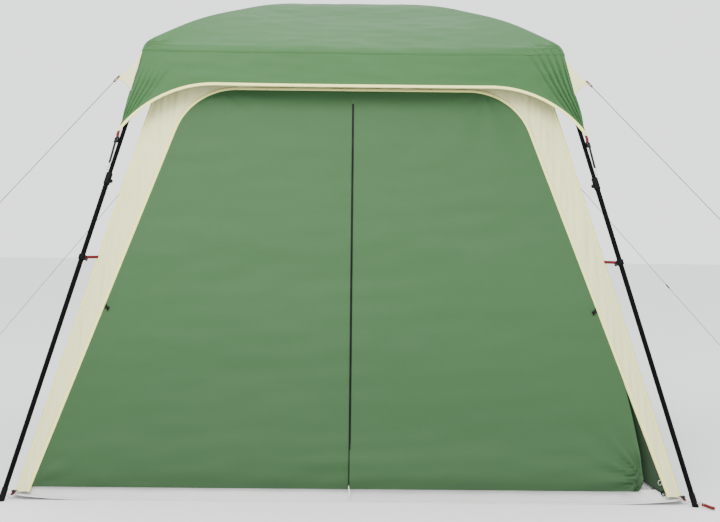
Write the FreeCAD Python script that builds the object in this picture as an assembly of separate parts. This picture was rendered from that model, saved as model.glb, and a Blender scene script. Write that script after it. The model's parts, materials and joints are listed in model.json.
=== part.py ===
import FreeCAD, Part
import math
import os

# Screen house, 10 ft class, in millimetres. Origin on the ground at the middle of the floor,
# +Z up, the zipped front towards -Y. Every corner is built once in its own upright plane
# (x outward along the diagonal, y sideways, z up) and turned into place.

Vector = FreeCAD.Vector
SIDEWAYS = Vector(0, 1, 0)
UP = Vector(0, 0, 1)
CORNERS = {"fl": 225, "fr": 315, "br": 45, "bl": 135}
SIDES = {"fl": (-1, -1), "fr": (1, -1), "br": (1, 1), "bl": (-1, 1)}

# Frame: hub in the middle, four bent arms, four telescoping legs that lean in
FOOT_HALF = 1490.0
FOOT_R = FOOT_HALF * math.sqrt(2)
ELBOW_R = 960.0 * math.sqrt(2)
ELBOW_Z = 1985.0
HUB_HINGE_R = 95.0
HUB_HINGE_Z = 2358.0
KNEE_HALF = 393.0
KNEE_Z = 2320.0
ARM_ABOVE_ELBOW = 26.0
ARM_BEND_RADIUS = 400.0
PIN_RADIUS = 3.0
PIN_FIT = 0.05
SWING_FIT = 0.1
TUBE_FIT = 0.1
ARM_RADIUS, ARM_BORE = 8.0, 7.0
UPPER_RADIUS, UPPER_BORE = 9.5, 8.3
LOWER_RADIUS, LOWER_BORE = 11.0, 9.8
TELESCOPE_Z = 1410.0
TELESCOPE_INSERT = 250.0
TONGUE_WIDTH = 12.0
TONGUE_RADIUS = 10.0
CHEEK = 5.0
SOCKET_RADIUS = 12.5
COLLAR_RADIUS = 14.5
BOSS_RADIUS, BOSS_REACH = 9.0, 22.0
BUTTON_RADIUS, BUTTON_LENGTH, BUTTON_FROM = 5.9, 8.0, 17.5
POCKET_RADIUS, POCKET_FROM = 6.3, 13.5
CLIP_Z = 1040.0
CLIP_RADIUS, CLIP_HEIGHT, CLIP_NECK = 15.5, 24.0, 30.0
FOOT_TOP_RADIUS, FOOT_BASE_RADIUS, FOOT_LENGTH = 12.8, 14.0, 58.0
FOOT_PLUG = 36.0
RING_PIN_Z, RING_PIN_RADIUS, RING_RADIUS, RING_WIRE = 16.0, 2.5, 10.0, 2.0

# Hub
HUB_DISC_RADIUS = 78.0
HUB_HALF_HEIGHT = 14.0
HUB_SLOT_FROM = 82.0
HUB_CAP_RADIUS, HUB_CAP_HEIGHT = 66.0, 4.5

# Inner tent: four leaning walls on a floor mat
WALL_FOOT = 1450.0
WALL_TOP_HALF, WALL_TOP_Z = 885.0, 1990.0
WALL_LEAN = (WALL_FOOT - WALL_TOP_HALF) / WALL_TOP_Z
WALL_ANGLE = math.atan(WALL_LEAN)
WALL_THICK = 1.5
WALL_BOTTOM_Z = 2.5
MAT_HALF, MAT_THICK, MAT_CORNER = 1465.0, 2.0, 60.0
PANEL_FOOT_HALF = 1400.0
PANEL_SLOPE = 520.0 / 1500.0
PANEL_TOP_Z, PANEL_BOTTOM_Z = 1834.0, 48.0
PANEL_CORNER_RADIUS = 300.0
PANEL_GAP = 2.0
ZIP_HALF_GAP = 2.0

# Fly: a shallow vault with a valance and four tails that come down over the legs
FLY_CENTRE_Z, FLY_KNEE_Z = 2387.0, 2341.0
FLY_BOW_HALF, FLY_BOW_Z = 735.0, 2188.0
FLY_EAVE_HALF, FLY_EAVE_Z = 985.0, 2020.0
FLY_TAIL_HALF, FLY_TAIL_Z = 1086.0, 1590.0
FLY_THICK = 2.0
HEM_FLAT_HALF, HEM_Z = 700.0, 1840.0
HEM_MID = (900.0, 1779.0)
TAIL_HALF, TAIL_TOP_Z = 1068.0, 1640.0
TAB_TOP_Z, TAB_LOW_Z = 1995.0, 1805.0

# Guy lines: taut out of the corner tabs, down to either side, as far as the loop that a peg holds
TAB_TIP_HALF, TAB_TIP_Z = 1100.0, 1862.0
GUY_ANGLE = {"fl": 47.0, "fr": 45.0, "br": 47.5, "bl": 50.0}
GUY_LENGTH = {"fl": 1030.0, "fr": 1030.0, "br": 2100.0, "bl": 2100.0}
GUY_START, GUY_RADIUS = 4.0, 1.5
RUNNER_ALONG = {"fl": 955.0, "fr": 955.0, "br": 1420.0, "bl": 890.0}
RUNNER_LENGTH, RUNNER_RADIUS, RUNNER_BORE = 28.0, 6.0, 2.0


def at(r, z, side=0.0):
    return Vector(r, side, z)


def rod(start, end, radius):
    axis = end - start
    return Part.makeCylinder(radius, axis.Length, start, axis)


def tube(start, end, radius, bore):
    return rod(start, end, radius).cut(rod(start, end, bore))


def cross_rod(centre, radius, half_width):
    """A cylinder across the corner's plane, centred on it."""
    return rod(centre - SIDEWAYS * half_width, centre + SIDEWAYS * half_width, radius)


def slab(corner_points, side_from, side_to):
    """A flat outline in the corner's plane, made solid between two sideways distances."""
    points = [at(p.x, p.z, side_from) for p in corner_points]
    face = Part.Face(Part.makePolygon(points + points[:1]))
    return face.extrude(SIDEWAYS * (side_to - side_from))


def bar(start, end, half_height, side_from, side_to):
    """A rectangular bar from start to end in the corner's plane."""
    along = (end - start).normalize()
    high = SIDEWAYS.cross(along) * half_height
    outline = [start + high, end + high, end - high, start - high]
    return slab(outline, side_from, side_to)


def fuse(shapes):
    return shapes[0].multiFuse(shapes[1:]).removeSplitter()


# Places in a corner's plane
ELBOW = at(ELBOW_R, ELBOW_Z)
FOOT = at(FOOT_R, 0.0)
HUB_HINGE = at(HUB_HINGE_R, HUB_HINGE_Z)
KNEE = at(KNEE_HALF * math.sqrt(2), KNEE_Z)
LEG_LENGTH = (FOOT - ELBOW).Length
LEG_WAY = (FOOT - ELBOW).normalize()
LEG_OUT = Vector(-LEG_WAY.z, 0, LEG_WAY.x)


def arm_end():
    """The arm's end: above the elbow pin by ARM_ABOVE_ELBOW, square to the arm's outer run."""
    reach = (KNEE - ELBOW).Length
    chord = math.atan2(KNEE.z - ELBOW.z, KNEE.x - ELBOW.x)
    tilt = chord - math.asin(ARM_ABOVE_ELBOW / reach)
    high = Vector(math.sin(tilt), 0, -math.cos(tilt))
    return ELBOW + high * ARM_ABOVE_ELBOW


ARM_END = arm_end()
ARM_WAY = (ARM_END - KNEE).normalize()
ARM_UP = Vector(-ARM_WAY.z, 0, ARM_WAY.x)
TELESCOPE_AT = LEG_LENGTH * (ELBOW_Z - TELESCOPE_Z) / ELBOW_Z
CLIP_AT = LEG_LENGTH * (ELBOW_Z - CLIP_Z) / ELBOW_Z


def on_leg(distance, out=0.0):
    return ELBOW + LEG_WAY * distance + LEG_OUT * out


def rounded(before, corner, after, radius):
    """The two tangent points and the middle of an arc that rounds a corner."""
    back = (before - corner).normalize()
    on = (after - corner).normalize()
    half = back.getAngle(on) / 2
    inward = (back + on).normalize()
    reach = radius / math.tan(half)
    middle = corner + inward * (radius / math.sin(half) - radius)
    return corner + back * reach, middle, corner + on * reach


def bent_rod(start, knee, end, bend_radius, radius):
    first, middle, last = rounded(start, knee, end, bend_radius)
    edges = [Part.makeLine(start, first), Part.Arc(first, middle, last).toShape(), Part.makeLine(last, end)]
    section = Part.Wire(Part.makeCircle(radius, start, first - start))
    return Part.Wire(edges).makePipeShell([section], True, True)


def roof_arm():
    way = (KNEE - HUB_HINGE).normalize()
    start = HUB_HINGE + way * 24
    pipe = bent_rod(start, KNEE, ARM_END, ARM_BEND_RADIUS, ARM_RADIUS)
    bore = bent_rod(start + way * 10, KNEE, ARM_END, ARM_BEND_RADIUS, ARM_BORE)
    half = TONGUE_WIDTH / 2
    tongue = cross_rod(HUB_HINGE, TONGUE_RADIUS, half)
    link = bar(HUB_HINGE, start + way * 6, ARM_RADIUS - 1, -half, half)
    return fuse([pipe.cut(bore), tongue, link]).cut(cross_rod(HUB_HINGE, PIN_RADIUS + SWING_FIT, half))


def elbow():
    inner = TONGUE_WIDTH / 2 + 0.8
    outer = inner + CHEEK
    socket = rod(ARM_END - ARM_WAY * 60, ARM_END + ARM_WAY * 8, SOCKET_RADIUS)
    solids = [socket]
    for side_from, side_to in ((-outer, -inner), (inner, outer)):
        top = ELBOW + ARM_UP * (ARM_ABOVE_ELBOW - 4)
        solids.append(bar(ELBOW, top, 13, side_from, side_to))
        solids.append(rod(ELBOW + SIDEWAYS * side_from, ELBOW + SIDEWAYS * side_to, 13))
    body = fuse(solids).cut(rod(ARM_END - ARM_WAY * 61, ARM_END, ARM_RADIUS + TUBE_FIT))
    return body.cut(cross_rod(ELBOW, PIN_RADIUS + PIN_FIT, outer + 1))


def elbow_pin():
    reach = TONGUE_WIDTH / 2 + 0.8 + CHEEK
    shank = cross_rod(ELBOW, PIN_RADIUS, reach + 1)
    heads = [rod(ELBOW + SIDEWAYS * s * reach, ELBOW + SIDEWAYS * s * (reach + 3), 5.5) for s in (-1, 1)]
    return fuse([shank] + heads)


def leg_upper():
    half = TONGUE_WIDTH / 2
    pipe = tube(on_leg(24), on_leg(TELESCOPE_AT + TELESCOPE_INSERT), UPPER_RADIUS, UPPER_BORE)
    tongue = cross_rod(ELBOW, TONGUE_RADIUS, half)
    link = bar(ELBOW, on_leg(40), 8.3, -half, half)
    return fuse([pipe, tongue, link]).cut(cross_rod(ELBOW, PIN_RADIUS + SWING_FIT, half))


def leg_lower():
    return tube(on_leg(TELESCOPE_AT), on_leg(LEG_LENGTH - FOOT_PLUG), LOWER_RADIUS, LOWER_BORE)


def leg_collar():
    """The telescope's collar. Its boss, with the button's pocket, faces in, clear of the fly's tail."""
    top, low = TELESCOPE_AT - 12, TELESCOPE_AT + 42
    middle = TELESCOPE_AT + 20
    ring = rod(on_leg(top), on_leg(low), COLLAR_RADIUS)
    boss = rod(on_leg(middle), on_leg(middle, -BOSS_REACH), BOSS_RADIUS)
    body = fuse([ring, boss]).cut(rod(on_leg(TELESCOPE_AT), on_leg(low), LOWER_RADIUS + TUBE_FIT))
    body = body.cut(rod(on_leg(top), on_leg(TELESCOPE_AT), LOWER_BORE))
    return body.cut(rod(on_leg(middle, -POCKET_FROM), on_leg(middle, -BOSS_REACH), POCKET_RADIUS))


def leg_button():
    middle = TELESCOPE_AT + 20
    cap = rod(on_leg(middle, -BUTTON_FROM), on_leg(middle, -BUTTON_FROM - BUTTON_LENGTH), BUTTON_RADIUS)
    return cap.makeFillet(1.2, [cap.Edges[0]])


def ring_pin_at():
    return FOOT.x + LEG_WAY.x / LEG_WAY.z * RING_PIN_Z


def foot():
    start = on_leg(LEG_LENGTH - FOOT_LENGTH)
    cone = Part.makeCone(FOOT_TOP_RADIUS, FOOT_BASE_RADIUS, FOOT_LENGTH + 12, start, LEG_WAY)
    ground = Part.makeBox(200, 200, 100, Vector(FOOT.x - 100, -100, -100))
    socket = rod(start, on_leg(LEG_LENGTH - FOOT_PLUG), LOWER_RADIUS + TUBE_FIT)
    hole = rod(at(FOOT.x - 60, RING_PIN_Z), at(FOOT.x + 60, RING_PIN_Z), RING_PIN_RADIUS + PIN_FIT)
    return cone.cut(ground).cut(socket).cut(hole)


def foot_pin():
    """A steel pin through the foot, with a ring outside for the peg loop and an eye inside for the floor strap."""
    middle = ring_pin_at()
    shank = rod(at(middle - 27, RING_PIN_Z), at(middle + 25, RING_PIN_Z), RING_PIN_RADIUS)
    ring = Part.makeTorus(RING_RADIUS, RING_WIRE, at(middle + 25 + RING_RADIUS, RING_PIN_Z), SIDEWAYS)
    eye = Part.makeTorus(7.0, RING_WIRE, at(middle - 27 - 7, RING_PIN_Z), SIDEWAYS)
    return fuse([shank, ring, eye])


def wall_clip():
    """A C-clip snapped round the leg, with a slotted neck for the wall's webbing tab."""
    top, low = on_leg(CLIP_AT - CLIP_HEIGHT / 2), on_leg(CLIP_AT + CLIP_HEIGHT / 2)
    middle = on_leg(CLIP_AT)
    neck = bar(middle - LEG_OUT * 12, middle - LEG_OUT * CLIP_NECK, CLIP_HEIGHT / 2 - 2, -3, 3)
    body = fuse([rod(top, low, CLIP_RADIUS), neck]).cut(rod(top, low, LOWER_RADIUS + TUBE_FIT))
    mouth = bar(middle, middle + LEG_OUT * 20, CLIP_HEIGHT, -7, 7)
    slot = bar(middle - LEG_OUT * 21, middle - LEG_OUT * 25, 7, -4, 4)
    return body.cut(mouth).cut(slot)


def turned(shape, angle):
    copy = shape.copy()
    copy.rotate(Vector(0, 0, 0), UP, angle)
    return copy


def hub_core():
    low = HUB_HINGE_Z - HUB_HALF_HEIGHT
    disc = Part.makeCylinder(HUB_DISC_RADIUS, 2 * HUB_HALF_HEIGHT, Vector(0, 0, low))
    cheek_out = TONGUE_WIDTH / 2 + 8.0
    cheek_in = TONGUE_WIDTH / 2 + 0.5
    lug = bar(at(55, HUB_HINGE_Z), HUB_HINGE, HUB_HALF_HEIGHT, -cheek_out, cheek_out)
    eye = cross_rod(HUB_HINGE, HUB_HALF_HEIGHT, cheek_out)
    far = at(HUB_HINGE_R + 40, HUB_HINGE_Z)
    slot = bar(at(HUB_SLOT_FROM, HUB_HINGE_Z), far, 2 * HUB_HALF_HEIGHT, -cheek_in, cheek_in)
    pin_hole = cross_rod(HUB_HINGE, PIN_RADIUS + PIN_FIT, cheek_out)
    body = fuse([disc] + [turned(s, a) for a in CORNERS.values() for s in (lug, eye)])
    for angle in CORNERS.values():
        body = body.cut(turned(slot, angle)).cut(turned(pin_hole, angle))
    return body


def hub_cap():
    base = Vector(0, 0, HUB_HINGE_Z + HUB_HALF_HEIGHT)
    cap = Part.makeCylinder(HUB_CAP_RADIUS, HUB_CAP_HEIGHT, base)
    return cap.makeFillet(3.0, [cap.Edges[0]])


def hub_pins():
    pin = cross_rod(HUB_HINGE, PIN_RADIUS, TONGUE_WIDTH / 2 + 9.0)
    return Part.makeCompound([turned(pin, angle) for angle in CORNERS.values()])


# Fabric. A wall is drawn flat, in the XZ plane with its outer face towards -Y, and then leans back.
def slope(z):
    return z / math.cos(WALL_ANGLE)


def wall_half(z):
    return WALL_FOOT - WALL_LEAN * z


def lean_back(shape):
    copy = shape.copy()
    copy.rotate(Vector(0, 0, 0), Vector(1, 0, 0), -math.degrees(WALL_ANGLE))
    copy.translate(Vector(0, -WALL_FOOT, 0))
    return copy


def plate(edges):
    return Part.Face(Part.Wire(edges)).extrude(SIDEWAYS * WALL_THICK)


def polygon_edges(points):
    return Part.makePolygon([at(x, z) for x, z in points] + [at(*points[0])]).Edges


def wall_outline(trim):
    foot = wall_half(WALL_BOTTOM_Z) - trim
    top = wall_half(WALL_TOP_Z) - trim
    low, high = slope(WALL_BOTTOM_Z), slope(WALL_TOP_Z)
    return polygon_edges([(-foot, low), (foot, low), (top, high), (-top, high)])


def panel_half(z, grow):
    return PANEL_FOOT_HALF - PANEL_SLOPE * z + grow


def panel_edges(grow, bottom_z, left, right):
    """The panel's outline between two upright cuts; None leaves that side its slanting, rounded edge."""
    low, high = slope(bottom_z), slope(PANEL_TOP_Z) + grow
    foot, top = panel_half(bottom_z, grow), panel_half(PANEL_TOP_Z, grow)
    edges = []
    if right is None:
        first, middle, last = rounded(at(foot, low), at(top, high), at(0, high), PANEL_CORNER_RADIUS)
        edges += [Part.makeLine(at(foot, low), first), Part.Arc(first, middle, last).toShape()]
        right_low, right_high = at(foot, low), last
    else:
        right_low, right_high = at(right, low), at(right, high)
        edges.append(Part.makeLine(right_low, right_high))
    if left is None:
        first, middle, last = rounded(at(-foot, low), at(-top, high), at(0, high), PANEL_CORNER_RADIUS)
        edges += [Part.makeLine(at(-foot, low), first), Part.Arc(first, middle, last).toShape()]
        left_low, left_high = at(-foot, low), last
    else:
        left_low, left_high = at(left, low), at(left, high)
        edges.append(Part.makeLine(left_low, left_high))
    edges += [Part.makeLine(right_high, left_high), Part.makeLine(left_low, right_low)]
    return Part.__sortEdges__(edges)


def wall(angle, trim):
    return turned(lean_back(plate(wall_outline(trim))), angle)


def wall_front():
    whole = plate(wall_outline(0.5))
    doorway = plate(panel_edges(PANEL_GAP, 0.0, None, None))
    return lean_back(whole.cut(doorway))


def door(left, right):
    return lean_back(plate(panel_edges(0.0, PANEL_BOTTOM_Z, left, right)))


def zip_slider():
    """Body and hanging pull, just outside the zip at the foot of the door."""
    body = Part.makeBox(14, 5, 24, Vector(-7, -6, 62))
    pull = Part.makeBox(9, 2, 38, Vector(-4.5, -4.5, 26))
    body = body.makeFillet(1.5, body.Edges)
    return lean_back(fuse([body, pull]))


def floor_mat():
    mat = Part.makeBox(2 * MAT_HALF, 2 * MAT_HALF, MAT_THICK, Vector(-MAT_HALF, -MAT_HALF, 0))
    upright = [e for e in mat.Edges if abs(e.tangentAt(e.FirstParameter).z) > 0.9]
    return mat.makeFillet(MAT_CORNER, upright)


def fly_half(z):
    share = (FLY_EAVE_Z - z) / (FLY_EAVE_Z - FLY_TAIL_Z)
    return FLY_EAVE_HALF + share * (FLY_TAIL_HALF - FLY_EAVE_HALF)


def vault(inset, bottom_z):
    """The solid under the fly's surface, drawn in by inset: two crossed prisms in common."""
    tail = at(fly_half(bottom_z), bottom_z)
    line = [tail, at(FLY_EAVE_HALF, FLY_EAVE_Z), at(FLY_BOW_HALF, FLY_BOW_Z), at(KNEE_HALF, FLY_KNEE_Z)]
    line.append(at(0, FLY_CENTRE_Z))
    ways = [(b - a).normalize() for a, b in zip(line, line[1:])]
    inward = [Vector(-w.z, 0, w.x) for w in ways]
    points = [line[0] + inward[0] * inset]
    for corner, before, after in zip(line[1:], inward, inward[1:]):
        bisector = (before + after).normalize()
        points.append(corner + bisector * (inset / bisector.dot(after)))
    points.append(line[-1] - UP * (inset / abs(inward[-1].z)))
    points[0] = at(points[0].x, bottom_z)
    mirrored = [at(-p.x, p.z) for p in reversed(points[:-1])]
    outline = [Vector(p.x, -1300, p.z) for p in points + mirrored]
    prism = Part.Face(Part.makePolygon(outline + outline[:1])).extrude(SIDEWAYS * 2600)
    return prism.common(turned(prism, 90))


def hem_cut():
    low = FLY_TAIL_Z - 20
    edges = [Part.makeLine(at(-HEM_FLAT_HALF, HEM_Z), at(HEM_FLAT_HALF, HEM_Z))]
    for s in (-1, 1):
        middle, end = at(s * HEM_MID[0], HEM_MID[1]), at(s * TAIL_HALF, TAIL_TOP_Z)
        edges.append(Part.Arc(at(s * HEM_FLAT_HALF, HEM_Z), middle, end).toShape())
        edges.append(Part.makeLine(end, at(s * TAIL_HALF, low)))
    edges.append(Part.makeLine(at(-TAIL_HALF, low), at(TAIL_HALF, low)))
    outline = Part.Wire(Part.__sortEdges__(edges))
    outline.translate(Vector(0, -1300, 0))
    return Part.Face(outline).extrude(SIDEWAYS * 2600)


def guy_tab(side_x, side_y):
    """A three-cornered tab on the fly's corner that the guy line pulls on."""
    points = []
    for z, half_x in ((TAB_TOP_Z, fly_half(TAB_TOP_Z) - 2), (TAB_LOW_Z, fly_half(TAB_LOW_Z) - 2),
                      (TAB_TIP_Z, TAB_TIP_HALF)):
        points.append(Vector(side_x * half_x, side_y * (fly_half(z) - 0.5), z))
    face = Part.Face(Part.makePolygon(points + points[:1]))
    return face.extrude(Vector(0, -side_y * FLY_THICK, 0))


def fly():
    shell = vault(0.0, FLY_TAIL_Z).cut(vault(FLY_THICK, FLY_TAIL_Z - 20))
    arch = hem_cut()
    shell = shell.cut(arch).cut(turned(arch, 90))
    return fuse([shell] + [guy_tab(sx, sy) for sx, sy in SIDES.values()])


def guy_place(corner, along):
    """A point on the corner's guy line, so far from its tab's tip."""
    side_x, side_y = SIDES[corner]
    tilt = math.radians(GUY_ANGLE[corner])
    tip = Vector(side_x * TAB_TIP_HALF, side_y * fly_half(TAB_TIP_Z), TAB_TIP_Z)
    return tip + Vector(side_x * math.cos(tilt), 0, -math.sin(tilt)) * along


def guy_line(corner):
    return rod(guy_place(corner, GUY_START), guy_place(corner, GUY_LENGTH[corner]), GUY_RADIUS)


def guy_runner(corner):
    start = guy_place(corner, RUNNER_ALONG[corner] - RUNNER_LENGTH / 2)
    end = guy_place(corner, RUNNER_ALONG[corner] + RUNNER_LENGTH / 2)
    return tube(start, end, RUNNER_RADIUS, RUNNER_BORE)


def build():
    nodes = {"hub_core": hub_core(), "hub_cap": hub_cap(), "hub_pins": hub_pins()}
    makers = (roof_arm, elbow, elbow_pin, leg_upper, leg_lower, leg_collar, leg_button, foot, foot_pin, wall_clip)
    for maker in makers:
        shape = maker()
        for corner, angle in CORNERS.items():
            nodes[f"{maker.__name__}_{corner}"] = turned(shape, angle)
    for corner in CORNERS:
        nodes[f"guy_line_{corner}"] = guy_line(corner)
        nodes[f"guy_runner_{corner}"] = guy_runner(corner)
    nodes["fly"] = fly()
    nodes["floor_mat"] = floor_mat()
    nodes["wall_front"] = wall_front()
    nodes["wall_back"] = wall(180, 0.5)
    nodes["wall_right"] = wall(90, 2 * WALL_THICK)
    nodes["wall_left"] = wall(270, 2 * WALL_THICK)
    nodes["door_left"] = door(None, -ZIP_HALF_GAP)
    nodes["door_right"] = door(ZIP_HALF_GAP, None)
    nodes["zip_slider"] = zip_slider()
    return nodes


os.makedirs("parts", exist_ok=True)
for name, shape in build().items():
    shape.exportStep(f"parts/{name}.step")
    solids = shape.Solids
    print(name, len(solids), shape.isValid(), round(sum(s.Volume for s in solids) / 1000, 2), "cm3")
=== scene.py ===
import json
import math

import bmesh
import bpy
import numpy as np
from mathutils import Matrix, Vector


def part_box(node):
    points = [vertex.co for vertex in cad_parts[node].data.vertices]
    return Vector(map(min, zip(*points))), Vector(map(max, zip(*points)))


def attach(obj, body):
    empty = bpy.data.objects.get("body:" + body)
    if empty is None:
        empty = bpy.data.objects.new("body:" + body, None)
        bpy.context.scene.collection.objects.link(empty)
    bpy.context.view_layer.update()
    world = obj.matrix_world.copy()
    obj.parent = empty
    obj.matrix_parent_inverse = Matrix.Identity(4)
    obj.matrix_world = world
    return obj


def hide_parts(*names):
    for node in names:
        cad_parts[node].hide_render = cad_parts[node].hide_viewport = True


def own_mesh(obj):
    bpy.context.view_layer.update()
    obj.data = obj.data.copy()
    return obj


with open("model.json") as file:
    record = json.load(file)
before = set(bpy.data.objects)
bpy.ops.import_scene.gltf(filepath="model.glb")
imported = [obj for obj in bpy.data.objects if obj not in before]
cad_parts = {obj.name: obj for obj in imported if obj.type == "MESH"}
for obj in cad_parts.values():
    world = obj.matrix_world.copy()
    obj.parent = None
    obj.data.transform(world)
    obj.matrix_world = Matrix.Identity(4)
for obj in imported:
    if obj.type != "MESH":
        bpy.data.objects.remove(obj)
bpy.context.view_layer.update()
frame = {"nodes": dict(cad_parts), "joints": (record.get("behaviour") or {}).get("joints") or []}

# A square screen house in metres, in the frame's axes: +Z up, the zipped front towards -Y.
# Every side is drawn once, in its own coordinates (u to its right, out, up), and turned into place.

CORNERS = {"fl": (-1, -1), "fr": (1, -1), "br": (1, 1), "bl": (-1, 1)}
# side: its outward direction, its direction to the right as seen from outside, its two corners
SIDES = {
    "front": ((0, -1), (1, 0), ("fl", "fr")),
    "right": ((1, 0), (0, 1), ("fr", "br")),
    "back": ((0, 1), (-1, 0), ("br", "bl")),
    "left": ((-1, 0), (0, -1), ("bl", "fl")),
}
HANDS = {"left": -1, "right": 1}

JOINTS = {joint["name"]: joint for joint in frame["joints"]}
ELBOW = {c: Vector(JOINTS[f"leg_swing_{c}"]["pos_m"]) for c in CORNERS}
LEG_WAY = {c: Vector(JOINTS[f"leg_telescope_{c}"]["axis"]).normalized() for c in CORNERS}

# Fly: its side view from the centre to the tail, as (distance from the middle, height)
FLY_EAVE, FLY_TAIL = (0.985, 2.022), (1.086, 1.590)
FLY_LINE = ((0.0, 2.392), (0.393, 2.352), (0.735, 2.196), FLY_EAVE, FLY_TAIL)
FLY_ROUNDS = (0.90, 1.20, 0.085)
HIP_ROUND, HIP_LIFT = 0.018, 0.017
ROOF_SAG, EAVE_SAG = 0.020, 0.005
HEM_ARC, HEM_ARC_END = (0.643, 1.307, 0.534), 0.425
TAIL_TIP_Z = 1.604
BINDING = 0.013
TAB_TOP_Z, TAB_LOW_Z, TAB_TIP = 1.995, 1.805, (1.100, 1.862)
# at each corner: height of the pleats, where the first one lies, how far up they run
PLEATS = {"fl": (0.0044, 0.55, 0.40), "fr": (0.0085, 0.15, 0.52),
          "br": (0.0048, 0.35, 0.42), "bl": (0.0044, 0.80, 0.36)}
PLEAT_COUNT, PLEAT_SPREAD = 5.6, math.radians(25)

# Walls: the outer face leans in from its foot
WALL_FOOT, WALL_TOP_HALF, WALL_TOP_Z = 1.450, 0.885, 1.990
LEAN = (WALL_FOOT - WALL_TOP_HALF) / WALL_TOP_Z
LEAN_ANGLE = math.atan(LEAN)
PANEL_FOOT_HALF, PANEL_SLOPE = 1.400, 0.520 / 1.500
PANEL_TOP_Z, PANEL_BOTTOM_Z = 1.834, 0.050
PANEL_ROUND, PANEL_PROUD = 0.300, 0.0028
STRIP_BOTTOM_Z = 0.030
ZIP_HALF_GAP = 0.0002
ZIP_TOP_Z, ZIP_LOW_Z, ZIP_PITCH = 1.762, 0.052, 0.0032
TOGGLE_Z = 0.812

# Front right: where an elastic pinches the leaf, and the wedge-shaped gap it opens
PINCH = (1.280, 0.098)
WEDGE_TOP_Z, WEDGE_DEPTH = 0.620, 0.086
FREE_CORNER_ROUND = 0.060

# Floor mat
MAT_HALF, MAT_ROUND, MAT_THICK = 1.465, 0.060, 0.002
SILL_HALF, SILL_TOP = 1.432, 0.056

# Guy lines: out of the corner tabs, down to either side
GUY_ANGLE = {"fl": 47.0, "fr": 45.0, "br": 47.5, "bl": 50.0}
GUY_LENGTH = {"fl": 1.030, "fr": 1.030, "br": 2.100, "bl": 2.100}
GUY_START, GUY_DIAMETER = 0.004, 0.003
RUNNER_ALONG = {"fl": 0.955, "fr": 0.955, "br": 1.420, "bl": 0.890}

UP = Vector((0, 0, 1))


# ---------------------------------------------------------------- camera

CAMERA_PLACE, CAMERA_LENS, CAMERA_SENSOR, CAMERA_REACH = (0.0, -6.284, 1.202), 56.3, 36.0, 100
CAMERA_YAW, CAMERA_PITCH, CAMERA_ROLL = 0.43, -1.90, 0.6


def axes_at(place, x, y, z):
    """The matrix whose axes are x, y and z, with its origin at a place."""
    matrix = Matrix((x, y, z)).transposed().to_4x4()
    matrix.translation = place
    return matrix


def camera():
    """Square on to the front, at chest height, with a slight roll."""
    yaw, pitch, roll = (math.radians(angle) for angle in (CAMERA_YAW, CAMERA_PITCH, CAMERA_ROLL))
    ahead = Vector((math.sin(yaw) * math.cos(pitch), math.cos(yaw) * math.cos(pitch), math.sin(pitch)))
    right = Vector((math.cos(yaw), -math.sin(yaw), 0))
    above = right.cross(ahead)
    turned_right = math.cos(roll) * right + math.sin(roll) * above
    turned_above = math.cos(roll) * above - math.sin(roll) * right
    data = bpy.data.cameras.new("camera")
    data.lens, data.sensor_width, data.clip_end = CAMERA_LENS, CAMERA_SENSOR, CAMERA_REACH
    obj = link("camera", data)
    obj.matrix_world = axes_at(CAMERA_PLACE, turned_right, turned_above, -ahead)
    bpy.context.scene.camera = obj


# ---------------------------------------------------------------- materials

MATERIALS = {}


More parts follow.
